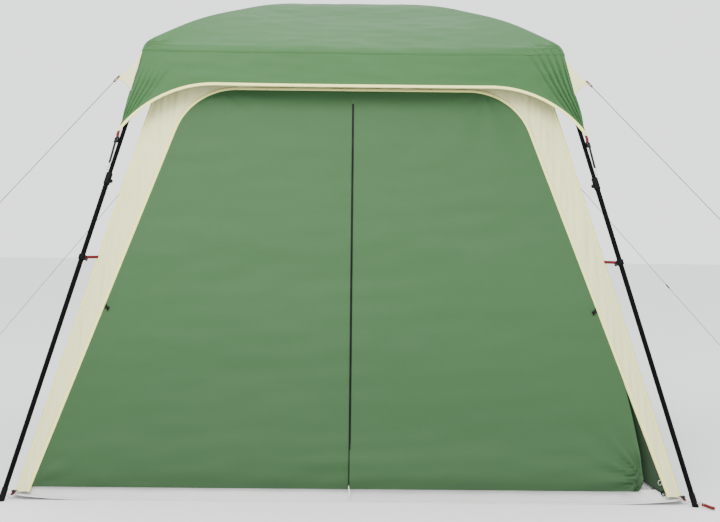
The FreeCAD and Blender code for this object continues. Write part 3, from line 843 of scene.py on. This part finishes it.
def panel_edge(z):
    """The panel's half width at a height."""
    return np.interp(z, OUTLINE[:-1, 1], OUTLINE[:-1, 0])


def on_wall(side, u, z, proud):
    """A point on a wall, standing proud of its outer face."""
    out = wall_half(z) + proud * math.cos(LEAN_ANGLE)
    return in_place(side, u, out, z + proud * math.sin(LEAN_ANGLE))


def strip_relief(side, u, z):
    seed = 60 + list(SIDES).index(side)
    from_edge = ramp(wall_half(z) - np.abs(u), 0.0, 0.05)
    waves = 0.0046 * soft_waves(z, u, seed, 0.075, 7.0) + 0.0018 * soft_waves(z, u, seed + 7, 0.03, 8.0)
    return waves * from_edge


def foot_drop(share):
    """How far the cream cloth goes below the green panel's foot, at a share of the outline."""
    return (PANEL_BOTTOM_Z - STRIP_BOTTOM_Z) * (1 - ramp(share, 0.0, 0.05))


def surround_point(side, hand, share, across):
    """The cream cloth round a panel: from the outline (across 0) to the wall's own edge (across 1)."""
    inner_u, inner_z = outline_at(share)
    up = np.clip(share / OUTLINE_TURN, 0, 1)
    over = np.clip((share - OUTLINE_TURN) / (1 - OUTLINE_TURN), 0, 1)
    outer_z = STRIP_BOTTOM_Z + (WALL_TOP_Z - STRIP_BOTTOM_Z) * up
    outer_u = wall_half(outer_z) * (1 - over)
    lowered = foot_drop(share)
    inner_z = inner_z - lowered
    inner_u = inner_u * 0.993 + PANEL_SLOPE * lowered
    inner_z = inner_z - 0.010 * ramp(inner_z, 1.40, 1.75)
    u = hand * (inner_u * (1 - across) + outer_u * across)
    z = inner_z * (1 - across) + outer_z * across
    fade = np.sin(np.pi * np.clip(across, 0, 1)) ** 0.7
    return on_wall(side, u, z, 0.0005 + strip_relief(side, u, z) * fade)


def pinch_line(z):
    """Front right only: the panel's own edge where an elastic draws it in from the binding."""
    drawn = WEDGE_DEPTH * np.clip((WEDGE_TOP_Z - z) / (WEDGE_TOP_Z - PINCH[1]), 0, 1) ** 1.5
    below = np.clip(PINCH[1] - z, 0, 0.9 * FREE_CORNER_ROUND)
    corner = np.sqrt(FREE_CORNER_ROUND ** 2 - below ** 2) - FREE_CORNER_ROUND
    return panel_edge(np.maximum(z, PINCH[1])) - drawn + corner


def panel_relief(side, hand, u, z):
    """Soft folds across a taut panel, a little slack near its foot, and folds drawn to its lower corners."""
    seed = 80 + list(SIDES).index(side)
    foot = panel_edge(PANEL_BOTTOM_Z)
    near_foot = (1 - ramp(z, 0.10, 0.34)) * ramp(z, 0.045, 0.075)
    relief = (0.0024 * soft_waves(u, z, seed, 0.34, 4.0)
              + 0.0010 * soft_waves(u, z, seed + 9, 0.10, 3.0)
              + 0.0020 * soft_waves(u, z, seed + 15, 0.060, 6.0) * near_foot
              + 0.006 * peak(z, 0.16, 0.10)
              + 0.0025 * fan(foot - np.abs(u), z - PANEL_BOTTOM_Z, 11.0, 1.0 + hand, 0.09)
              + 0.0016 * fan(np.abs(u) - 0.62, PANEL_TOP_Z - z, 8.0, 2.0, 0.16))
    return relief * ramp(panel_edge(z) - np.abs(u), 0.0, 0.07) * ramp(PANEL_TOP_Z - z, 0.0, 0.06)


def panel_point(side, hand, share, z, start=0.0):
    """A point of a green panel: share from its start beside the middle to its edge."""
    drawn_in = side == "front" and hand > 0
    edge = pinch_line(z) if drawn_in else panel_edge(z) + 0.006
    u = start + share * (edge - start)
    proud = PANEL_PROUD + panel_relief(side, hand, hand * u, z)
    if drawn_in:
        pinch = fan(PINCH[0] - u + 0.006, z - PINCH[1], 13.0, 0.6, 0.075)
        proud = proud + 0.0090 * pinch * ramp(PINCH[0] - u, -0.006, 0.022)
        proud = proud + 0.012 * ramp(edge - u, 0.0, 0.05) * peak(z, 0.10, 0.09)
    return on_wall(side, hand * u, z, proud)


def on_panel(u, z, above):
    """A point of the front panel near the zip, lifted off the cloth."""
    u, z = np.array(float(u)), np.array(float(z))
    return on_wall("front", u, z, PANEL_PROUD + panel_relief("front", 1 if u >= 0 else -1, u, z) + above)


PANEL_ROWS = np.concatenate((
    np.linspace(PANEL_BOTTOM_Z, OUTLINE[1, 1], 96)[:-1],
    OUTLINE[1, 1] + (PANEL_TOP_Z - OUTLINE[1, 1]) * np.sin(np.linspace(0, math.pi / 2, 26))))


def wall_tape(name, points, section, side, corner):
    """A cream tape that lies flat on a wall."""
    normal = np.array((*(math.cos(LEAN_ANGLE) * np.array(SIDES[side][0])), math.sin(LEAN_ANGLE)))
    across = np.cross(normal, unit(np.gradient(points, axis=0)))
    outs = np.repeat(normal[None], len(points), axis=0)
    return sewn_tape(name, points, outs, across, section, corner)


def wall_tapes(tag, side, hand, corner):
    """The bright tape that covers the panel's edge, and the seam tape down the wall's corner."""
    shares = even(150)
    u, z = outline_at(shares)
    lowered = foot_drop(shares)
    edge = on_wall(side, hand * (u + PANEL_SLOPE * lowered), z - lowered, 0.0042)
    z = np.linspace(STRIP_BOTTOM_Z, WALL_TOP_Z, 90)
    seam = on_wall(side, hand * (wall_half(z) - 0.005), z, 0.0016)
    return [wall_tape(f"panel_binding_{tag}", edge, PANEL_SECTION, side, corner),
            wall_tape(f"corner_tape_{tag}", seam, CORNER_SECTION, side, corner)]


def wall_pieces():
    """Each wall: two cream surrounds and two green panel halves. The front's halves are the door's leaves."""
    for tag, side, out, hand, corner in side_halves():
        def strip(share, across):
            return surround_point(side, hand, share, across)

        def panel(share, z):
            return panel_point(side, hand, share, z, ZIP_HALF_GAP if side == "front" else 0.0)

        cloth = sheet_mesh(f"surround_{tag}", strip, spaced((0, 0.06, 10), (0.07, 1.0, 110)),
                           even(18), (*out, 0.2))
        stands_for = [f"wall_{side}"] if hand < 0 else []
        finished(cloth, "cream_cloth", f"upper_{corner}", stands_for)
        squash_to_leg(cloth)
        wall_tapes(tag, side, hand, corner)

        name, body, nodes, extra = f"panel_{tag}", f"upper_{corner}", [], []
        if side == "front":
            body = tag.replace("front", "door")
            name, nodes = tag.replace("front", "door_leaf"), [body]
        piece = sheet_mesh(name, panel, spaced((0, 0.80, 44), (0.81, 1.0, 34)), PANEL_ROWS, (*out, 0.2))
        finished(piece, "panel_cloth", body, nodes)
        squash_to_leg(piece)
        if side == "front":
            extra = door_extras(tag.removeprefix("front_"), hand)


# ---------------------------------------------------------------- the door's own pieces

TOOTH_INNER, TOOTH_OUTER, TOOTH_LOW, TOOTH_HIGH, TOOTH_SHARE = 0.0002, 0.0036, 0.0002, 0.0030, 0.62
ZIP_TAPE = ((0.0, 0.0008), (0.0044, 0.0010), (0.0049, -0.0002))  # (out from the middle, above the cloth)
SLIDER_HALF = ((0.0045, -0.011), (0.0065, -0.002), (0.0070, 0.007), (0.0040, 0.011))
PULL_PATH = ((-0.004, 0.0034), (-0.018, 0.0049), (-0.034, 0.0034), (-0.050, 0.0024))
FRONT_OUT = Vector((0, -math.cos(LEAN_ANGLE), math.sin(LEAN_ANGLE)))
FRONT_UP = Vector((0, math.sin(LEAN_ANGLE), math.cos(LEAN_ANGLE)))


def door_spot(u, z, proud):
    return Vector(on_wall("front", np.array(u), np.array(z), proud))


def door_piece(obj, material, body, nodes=()):
    """A finished piece of the front wall, with its own copy of its mesh."""
    finished(obj, material, body, nodes)
    squash_to_leg(obj)
    return obj


def zip_half(hand_name, hand):
    """Half the zip: its tape, and one row of coil teeth."""
    bm = bmesh.new()
    for i in range(int((ZIP_TOP_Z - ZIP_LOW_Z) / ZIP_PITCH)):
        low = ZIP_LOW_Z + i * ZIP_PITCH
        high = low + ZIP_PITCH * TOOTH_SHARE
        outline = ((TOOTH_INNER, low), (TOOTH_OUTER, low), (TOOTH_OUTER, high), (TOOTH_INNER, high))
        v = [bm.verts.new(on_panel(hand * u, z, above).tolist()) for above in (TOOTH_LOW, TOOTH_HIGH)
             for u, z in outline]
        for face in ((4, 5, 6, 7), (0, 1, 5, 4), (1, 2, 6, 5), (2, 3, 7, 6), (3, 0, 4, 7)):
            bm.faces.new([v[k] for k in face])
    bridge(bm, [[bm.verts.new(on_panel(hand * u, z, above).tolist()) for u, above in ZIP_TAPE]
                for z in np.linspace(ZIP_LOW_Z - 0.001, ZIP_TOP_Z + 0.004, 120)], closed=False)
    teeth = from_bmesh(f"zip_teeth_{hand_name}", bm, rounded=False)
    return door_piece(teeth, "zip_black", f"door_{hand_name}")


def door_toggle(hand_name, hand):
    """A toggle at the panel's edge, which holds the leaf when it is rolled up."""
    place = door_spot(hand * (panel_edge(TOGGLE_Z) - 0.022), TOGGLE_Z, 0.011)
    slant, across = Vector((0.35 * hand, 0, 1)).normalized(), Vector((hand, 0, 0))
    bar = [place + slant * s for s in (-0.014, -0.007, 0.007, 0.014)]
    toggle = swept(f"door_toggle_{hand_name}", polyline(bar, 9), 0.0034)
    door_piece(toggle, "black_plastic", f"door_{hand_name}")
    path = trail(place, (FRONT_OUT, across), ((-0.008, 0.012), (0.004, 0), (-0.008, -0.010)))
    loop = tape(f"door_toggle_loop_{hand_name}", polyline(path, 12), slant, 0.002, 0.008)
    return [toggle, door_piece(loop, "black_webbing", f"door_{hand_name}")]


def door_gusset():
    """Front right: the leaf's inner layer, seen in the gap where the outer one is drawn in. Its cloth is
    painted dark as the shade in that gap.
    """
    def gusset(share, up):
        low = PINCH[1] + 0.004 - 0.062 * ramp(share, 0.15, 1.0)
        z = low + (WEDGE_TOP_Z + 0.02 - low) * up
        edge, drawn = panel_edge(z) + 0.004, pinch_line(z) - 0.030
        inward = 0.036 * np.cos(0.5 * np.pi * np.clip(share, 0, 1)) ** 2 * ramp(WEDGE_TOP_Z - z, 0.0, 0.2)
        return on_wall("front", drawn + share * (edge - drawn), z, -0.013 - inward + 0.013 * share)

    piece = sheet_mesh("door_leaf_inner_right", gusset, even(14), even(40), (0, -1, 0.2))
    return door_piece(piece, "shaded_inner_cloth", "door_right")


def floor_gusset():
    """Front right: the floor sheet's corner, drawn up behind the leaf's pinched edge."""
    def flap(share, up):
        z = 0.040 + (0.062 + 0.010 * np.sin(3.0 * share)) * up
        pucker = 0.0022 * np.sin(34 * share + 3 * up) * np.sin(np.pi * np.clip(share, 0, 1))
        return on_wall("front", 1.235 + 0.150 * share, z, -0.058 + pucker + 0.030 * (1 - up))

    piece = sheet_mesh("floor_corner_right", flap, even(40), even(10), (0, -1, 0.2))
    finished(piece, "mat_sheet", "tent")


def loop_round(middle, radius=0.008):
    """Points round a small ring that hangs in a wall's plane."""
    return [middle + Vector((radius * math.cos(a), 0, 1.3 * radius * math.sin(a)))
            for a in np.linspace(0, 2 * math.pi, 24)[:-1]]


def corner_elastic():
    """The elastic that draws the right leaf to the floor's corner, its hook, and a ring on the binding."""
    start = door_spot(PINCH[0] - 0.004, PINCH[1] + 0.002, 0.004)
    end = door_spot(1.366, 0.044, -0.004)
    cord = polyline([start, (start + end) / 2 + Vector((0, 0, -0.003)), end], 14)
    ring = loop_round(door_spot(1.352, 0.088, 0.001))
    pieces = []
    for name, points, radius, material, slot in (
            ("door_elastic_right", cord, 0.0021, "black_webbing", "joint_plastic"),
            ("door_elastic_hook_right", loop_round(end), 0.0022, "black_plastic", "joint_plastic"),
            ("door_ring_right", ring, 0.0012, "steel", "steel_hardware")):
        piece = swept(name, points, radius, 10, closed=points is not cord)
        pieces.append(door_piece(piece, material, "door_right"))
    return pieces


def door_extras(hand_name, hand):
    pieces = [zip_half(hand_name, hand), *door_toggle(hand_name, hand)]
    if hand > 0:
        gusset = door_gusset()
        pieces += corner_elastic()
    return pieces


def zip_slider():
    """The slider's body and its pull, at the foot of the closed zip."""
    low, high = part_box("zip_slider")
    body_at = (low + high) / 2 + FRONT_UP * 0.018
    outline = [*SLIDER_HALF, *((-x, y) for x, y in reversed(SLIDER_HALF))]
    body = rounded_block("zip_slider_body", outline, 0.0052, body_at, (1, 0, 0), FRONT_UP, 0.0009)
    door_piece(body, "steel", "zip_slider", ["zip_slider"])
    path = polyline(trail(body_at, (FRONT_UP, FRONT_OUT), PULL_PATH), 14)
    pull = tape("zip_pull_tab", path, FRONT_OUT, 0.0085, 0.0016)
    door_piece(pull, "pull_cord", "zip_slider")


# ---------------------------------------------------------------- floor mat

MAT_COUNT = 4 * 90
MAT_HEM = (0.985, 0.990)
MAT_RINGS = (0.25, 0.5, 0.7, 0.82, 0.9, 0.95, 0.978, *MAT_HEM, 1.0)


def mat_edge(i, half):
    """A point of a rounded square's edge, one of MAT_COUNT."""
    side_length, arc = 2 * (half - MAT_ROUND), MAT_ROUND * math.pi / 2
    which, rest = divmod((i / MAT_COUNT % 1.0) * 4 * (side_length + arc), side_length + arc)
    if rest <= side_length:
        u, out = rest - side_length / 2, half
    else:
        a = (rest - side_length) / MAT_ROUND
        u, out = side_length / 2 + MAT_ROUND * math.sin(a), half - MAT_ROUND + MAT_ROUND * math.cos(a)
    turn = which * math.pi / 2
    return (u * math.cos(turn) + out * math.sin(turn), u * math.sin(turn) - out * math.cos(turn))


def corner_lift(x, y):
    """The straps to the feet hold the floor's corners a little off the ground."""
    return 0.020 * (max(min(abs(x), abs(y)) - 1.10, 0) / 0.35) ** 2


def mat_height(x, y, ring):
    ripple = 0.0007 * (1 + math.sin(9 * x + 3 * math.sin(5 * y))) if ring < 0.97 else 0.0
    return MAT_THICK + corner_lift(x, y) + ripple + (0.0008 if ring in MAT_HEM else 0.0)


def floor_mat():
    """The floor sheet: a rounded square with a folded hem, lying on the ground but for its corners."""
    bm = bmesh.new()
    edge = [mat_edge(i, MAT_HALF) for i in range(MAT_COUNT)]
    rows = [[bm.verts.new((x * ring, y * ring, mat_height(x * ring, y * ring, ring))) for x, y in edge]
            for ring in MAT_RINGS]
    rows.append([bm.verts.new((x, y, 0.0002 + corner_lift(x, y))) for x, y in edge])
    centre = bm.verts.new((0, 0, MAT_THICK))
    for before, after in zip(rows[0], rows[0][1:] + rows[0][:1]):
        bm.faces.new((centre, before, after))
    bridge(bm, rows)
    sheet = from_bmesh("floor_sheet", bm)
    if sheet.data.polygons[0].normal.z < 0:
        sheet.data.flip_normals()
    finished(sheet, "mat_sheet", "tent", ["floor_mat"])
    mat_sill()


def mat_sill():
    """The sheet's turned-up rim, just inside the walls."""
    bm = bmesh.new()
    rows = []
    for share, lean in ((0.0, 0.006), (0.06, 0.0005), (0.5, 0.0), (1.0, -0.010)):
        row = []
        for i in range(MAT_COUNT):
            x, y = mat_edge(i, SILL_HALF + lean)
            low = MAT_THICK + corner_lift(x, y)
            swell = 1 + 0.0012 * math.sin(40 * i / MAT_COUNT * 2 * math.pi) * share
            row.append(bm.verts.new((x * swell, y * swell, low + (SILL_TOP - low) * share)))
        rows.append(row)
    bridge(bm, rows)
    return finished(from_bmesh("floor_sill", bm, recalculate=False), "mat_sheet", "tent")


# ---------------------------------------------------------------- guy lines, tabs, straps

ACROSS = Vector((0, 1, 0))  # square to every guy line
# paths: (along the line, to its side) from its end, and (along, above) from the tab's tip
PEG_EYE = ((0.002, 0), (0.016, 0.008), (0.034, 0.010), (0.046, 0),
           (0.034, -0.010), (0.016, -0.008), (0.002, 0))
RED_LOOP = ((-0.022, 0.0016), (-0.004, 0.0030), (0.012, 0.0040), (0.019, 0),
            (0.012, -0.0040), (-0.004, -0.0030), (-0.022, -0.0016))
# the tail's strap: heights and distances outward from the leg, and its hook's bends (to the side, down)
TAIL_CORNER, TAIL_BUCKLE, TAIL_RED_END = 1.0765, (1.575, 0.0235), (1.588, 0.0230)
TAIL_STRAP = ((1.581, 0.0265), (1.556, 0.0255), (1.508, 0.0225), (1.468, 0.0205))
HOOK_BENDS = ((0.009, -0.004), (0.009, 0.006), (0, 0.016), (-0.006, 0.026), (0, 0.036), (0.006, 0.031))
# the loop for a ground peg: (outward, between its layers, up) from the foot's pin
PEG_LOOP = ((-0.006, 0.0040, 0.0), (0.010, 0.0030, -0.002), (0.032, 0.0022, -0.006), (0.047, 0.0028, -0.007),
            (0.053, 0.0, -0.0075), (0.047, -0.0028, -0.007), (0.032, -0.0022, -0.006),
            (0.010, -0.0030, -0.002), (-0.006, -0.0040, 0.0))
PIN_Z, FLOOR_CORNER_Z = 0.016, 0.034


def guy_way(corner):
    tilt = math.radians(GUY_ANGLE[corner])
    return Vector((CORNERS[corner][0] * math.cos(tilt), 0, -math.sin(tilt)))


def guy_place(corner, along):
    side_x, side_y = CORNERS[corner]
    tip = Vector((side_x * TAB_TIP[0], side_y * fly_half(TAB_TIP[1]), TAB_TIP[1]))
    return tip + guy_way(corner) * along


def guy_line(corner):
    """The line is straight, because a ground peg outside this part holds it taut."""
    length = GUY_LENGTH[corner] - GUY_START
    curve = bpy.data.curves.new(f"guy_cord_{corner}", "CURVE")
    curve.dimensions, curve.resolution_u = "3D", 8
    curve.bevel_depth, curve.bevel_resolution = GUY_DIAMETER / 2, 3
    spline = curve.splines.new("NURBS")
    spline.points.add(3)
    for point, share in zip(spline.points, (0.0, 0.3, 0.7, 1.0)):
        point.co = (*guy_place(corner, GUY_START + share * length), 1)
    spline.order_u, spline.use_endpoint_u = 3, True
    cord = link(f"guy_cord_{corner}", curve)
    finished(cord, "guy_cord", f"upper_{corner}", [f"guy_line_{corner}"])
    pieces = [guy_runner(corner), guy_end_loop(corner), guy_red_loop(corner)]


def guy_runner(corner):
    """A flat tensioner bar that slides on the line, with its three holes."""
    holes = [circle(0.0021, x) for x in (-0.011, 0.0, 0.011)]
    bar = rounded_block(f"guy_tensioner_{corner}", rounded_rectangle(0.034, 0.011, 0.0052), 0.0062,
                        guy_place(corner, RUNNER_ALONG[corner]), guy_way(corner), ACROSS, 0.0012, holes)
    return finished(bar, "black_plastic", f"runner_{corner}", [f"guy_runner_{corner}"])


def guy_end_loop(corner):
    """The knot at the line's end and the small loop that a peg goes through."""
    way, end = guy_way(corner), guy_place(corner, GUY_LENGTH[corner])
    turns = np.linspace(0, 2 * math.pi, 18)[:-1]
    knot = trail(end, (way, ACROSS, way.cross(ACROSS)), [
        (0.004 * math.cos(a) + 0.003, 0.0030 * math.sin(2 * a), 0.0032 * math.sin(a)) for a in turns])
    eye = polyline(trail(end, (way, ACROSS), PEG_EYE), 40)
    parts = [swept("scratch_knot", knot, 0.0022, 10, closed=True), swept("scratch_loop", eye, 0.0015, 10)]
    bm = bmesh.new()
    for part in parts:
        bm.from_mesh(part.data)
        bpy.data.objects.remove(part)
    loop = from_bmesh(f"guy_loop_{corner}", bm, recalculate=False)
    return finished(loop, "guy_cord", f"upper_{corner}")


def guy_red_loop(corner):
    """The red webbing loop sewn to the tab's tip, with the line tied into it."""
    way = guy_way(corner)
    path = trail(guy_place(corner, 0.0), (way, way.cross(ACROSS)), RED_LOOP)
    loop = tape(f"guy_red_loop_{corner}", polyline(path, 36), ACROSS, 0.009, 0.0014, on_edge=True)
    return finished(loop, "red_webbing", f"upper_{corner}")


def corner_tab(corner):
    """The cream three-cornered tab that spreads a guy line's pull over the fly's corner."""
    side_x, side_y = CORNERS[corner]
    tip_x, tip_z = TAB_TIP

    def tab(share, height):
        z = TAB_LOW_Z + (TAB_TOP_Z - TAB_LOW_Z) * height
        root = fly_half(z) - 0.004
        hollow = 0.018 * np.sin(np.pi * share) * (2 * height - 1)
        spot_z = z + (tip_z + 0.012 * (height - 0.5) - z) * share - hollow
        y = fly_half(spot_z) - 0.0015 + 0.0015 * np.sin(share * 9) * np.sin(np.pi * height)
        return np.stack((side_x * (root + (tip_x - root) * share), side_y * y, spot_z), axis=-1)

    piece = sheet_mesh(f"guy_tab_{corner}", tab, even(18), even(14), (0, side_y, 0))
    solid = piece.modifiers.new("cloth", "SOLIDIFY")
    solid.thickness, solid.offset = 0.0016, 0
    finished(piece, "cream_cloth", f"upper_{corner}")


def diagonal(corner):
    """Outward over a corner, and sideways to it."""
    away = Vector((*CORNERS[corner], 0)).normalized()
    return away, Vector((-away.y, away.x, 0))


def leg_spot(corner, z, out=0.0):
    """A point beside a leg: at a height, so far outward along the diagonal."""
    way = LEG_WAY[corner]
    return ELBOW[corner] + way * ((z - ELBOW[corner].z) / way.z) + diagonal(corner)[0] * out


def tail_piece(obj, material, corner):
    """A piece of the tail's strap, attached to its corner's upper body and given its own copy of its mesh."""
    finished(obj, material, f"upper_{corner}")
    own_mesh(obj)


def tail_strap(corner):
    """From the fly's tail to the leg: a red loop, a black buckle, a black strap and an S-hook."""
    way = LEG_WAY[corner]
    away, side = diagonal(corner)
    sx, sy = CORNERS[corner]
    tip = Vector((sx * TAIL_CORNER, sy * TAIL_CORNER, TAIL_TIP_Z + 0.014))
    red_end = leg_spot(corner, *TAIL_RED_END)
    path = polyline([tip, (tip + red_end) / 2 + away * 0.002, red_end], 16)
    loop = tape(f"tail_red_loop_{corner}", path, away, 0.022, 0.0026)
    tail_piece(loop, "red_webbing", corner)
    windows = [[(x, y + o) for x, y in reversed(rounded_rectangle(0.021, 0.0065, 0.001, 2))]
               for o in (-0.0058, 0.0058)]
    buckle = rounded_block(f"tail_buckle_{corner}", rounded_rectangle(0.030, 0.026, 0.004), 0.0050,
                           leg_spot(corner, *TAIL_BUCKLE), side, -way, 0.001, windows)
    tail_piece(buckle, "black_plastic", corner)
    path = [leg_spot(corner, z, out) for z, out in TAIL_STRAP]
    strap = tape(f"tail_strap_{corner}", polyline(path, 22), away, 0.018, 0.0018)
    tail_piece(strap, "black_webbing", corner)
    hook = swept(f"tail_hook_{corner}", polyline(trail(path[-1], (side, way), HOOK_BENDS), 34), 0.0018)
    tail_piece(hook, "steel", corner)


def clip_tab(corner):
    """The red webbing tab from the wall's corner seam to the clip's slot."""
    low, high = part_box(f"wall_clip_{corner}")
    z = (low.z + high.z) / 2
    away, side = diagonal(corner)
    reach = wall_half(z) - 0.004
    wall = Vector((CORNERS[corner][0] * reach, CORNERS[corner][1] * reach, z))
    slot_at = leg_spot(corner, z, -0.0255)
    between = (wall + slot_at) / 2
    path = [wall - away * 0.012 + side * 0.004, wall + side * 0.004, between + side * 0.0045,
            slot_at + side * 0.0042, slot_at + away * 0.0042 + side * 0.001, slot_at - side * 0.0042,
            between - side * 0.0042, wall - side * 0.003]
    tab = tape(f"clip_tab_{corner}", polyline(path, 44), UP, 0.013, 0.0013, on_edge=True)
    finished(tab, "red_webbing", f"lower_{corner}")


def foot_straps(corner):
    """A red loop for the ground peg outside the foot, and a red strap and adjuster to the floor's corner."""
    low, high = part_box(f"foot_pin_{corner}")
    sx, sy = CORNERS[corner]
    away, side = diagonal(corner)

    def pin_end(pick):
        return Vector((pick(abs(low.x), abs(high.x)) * sx, pick(abs(low.y), abs(high.y)) * sy, PIN_Z))

    width_way = (side * 0.7 + UP * 0.7).normalized()
    path = trail(pin_end(max) - away * 0.006, (away, away.cross(width_way), UP), PEG_LOOP)
    loop = tape(f"peg_loop_{corner}", polyline(path, 60), width_way, 0.013, 0.0014, on_edge=True)
    finished(loop, "red_webbing", f"lower_{corner}")
    eye = pin_end(min) + away * 0.005
    floor_corner = Vector((sx, sy, 0)) * (WALL_FOOT - 0.012) + UP * FLOOR_CORNER_Z
    middle = (eye + floor_corner) / 2
    path = [eye + UP * 0.003, eye - away * 0.008 + UP * 0.006, middle + UP * 0.004, floor_corner]
    strap = tape(f"floor_strap_{corner}", polyline(path, 20), UP + away * 0.4, 0.022, 0.0024)
    finished(strap, "red_webbing", f"lower_{corner}")
    window = list(reversed(rounded_rectangle(0.016, 0.003, 0.001, 2)))
    adjuster = rounded_block(f"floor_adjuster_{corner}", rounded_rectangle(0.026, 0.010, 0.003), 0.0042,
                             middle + UP * 0.007, side, floor_corner - eye, 0.0009, [window])
    finished(adjuster, "black_plastic", f"lower_{corner}")


# ---------------------------------------------------------------- CAD nodes that stay

NODE_MATERIALS = {
    "black_hub_plastic": ("hub_core", "hub_cap"),
    "black_plastic": ("elbow", "leg_collar", "foot", "wall_clip"),
    "button_plastic": ("leg_button",),
    "black_powder_coat": ("roof_arm", "leg_upper", "leg_lower"),
    "steel": ("hub_pins", "elbow_pin", "foot_pin"),
}


def node_materials():
    wanted = {kind: material for material, kinds in NODE_MATERIALS.items() for kind in kinds}
    for name, obj in frame["nodes"].items():
        kind, _, corner = name.rpartition("_")
        kind = kind if corner in CORNERS else name
        if kind in wanted:
            obj.data.materials.clear()
            obj.data.materials.append(MATERIALS[wanted[kind]])


# ---------------------------------------------------------------- floor and light

def stage():
    n = Nodes("studio_floor", (0.80, 0.80, 0.80), 0.9)
    n.shade(n.noise(0.6, 3), 0.985, 1.0)
    bpy.ops.mesh.primitive_plane_add(size=60, location=(0, 0, -0.0005))
    floor = bpy.context.object
    floor.name = "studio_floor"
    floor.data.materials.append(n.material)


def area_light(name, place, target, size, power, color):
    data = bpy.data.lights.new(name, "AREA")
    data.shape = "SQUARE"
    data.size, data.energy, data.color = size, power, color
    obj = link(name, data)
    obj.location = place
    obj.rotation_euler = (Vector(target) - Vector(place)).to_track_quat("-Z", "Y").to_euler()


# each light: where it is, what it points at, its size, power and colour
LIGHTS = {"key": ((-0.9, -3.6, 4.3), (0, -1.1, 1.95), 2.4, 165, (1.0, 0.985, 0.93)),
          "fill": ((5.5, -7.0, 3.0), (0, 0, 1.0), 5.0, 40, (0.95, 0.98, 1.0)),
          "top": ((0, 0.5, 8.0), (0, 0, 2.0), 6.0, 170, (0.82, 0.97, 1.0))}
SKY, SKY_POWER = (0.97, 0.985, 1.0, 1), 2.0


def lights():
    world = bpy.data.worlds.new("studio")
    world.use_nodes = True
    background = world.node_tree.nodes["Background"].inputs
    background["Color"].default_value, background["Strength"].default_value = SKY, SKY_POWER
    bpy.context.scene.world = world
    for name, settings in LIGHTS.items():
        area_light(name, *settings)


# ---------------------------------------------------------------- the whole

camera()
for corner_name in CORNERS:
    guy_line(corner_name)
fly_pieces()
wall_pieces()
zip_slider()
floor_mat()
floor_gusset()
for corner_name in CORNERS:
    corner_tab(corner_name)
    tail_strap(corner_name)
    clip_tab(corner_name)
    foot_straps(corner_name)
node_materials()
stage()
lights()
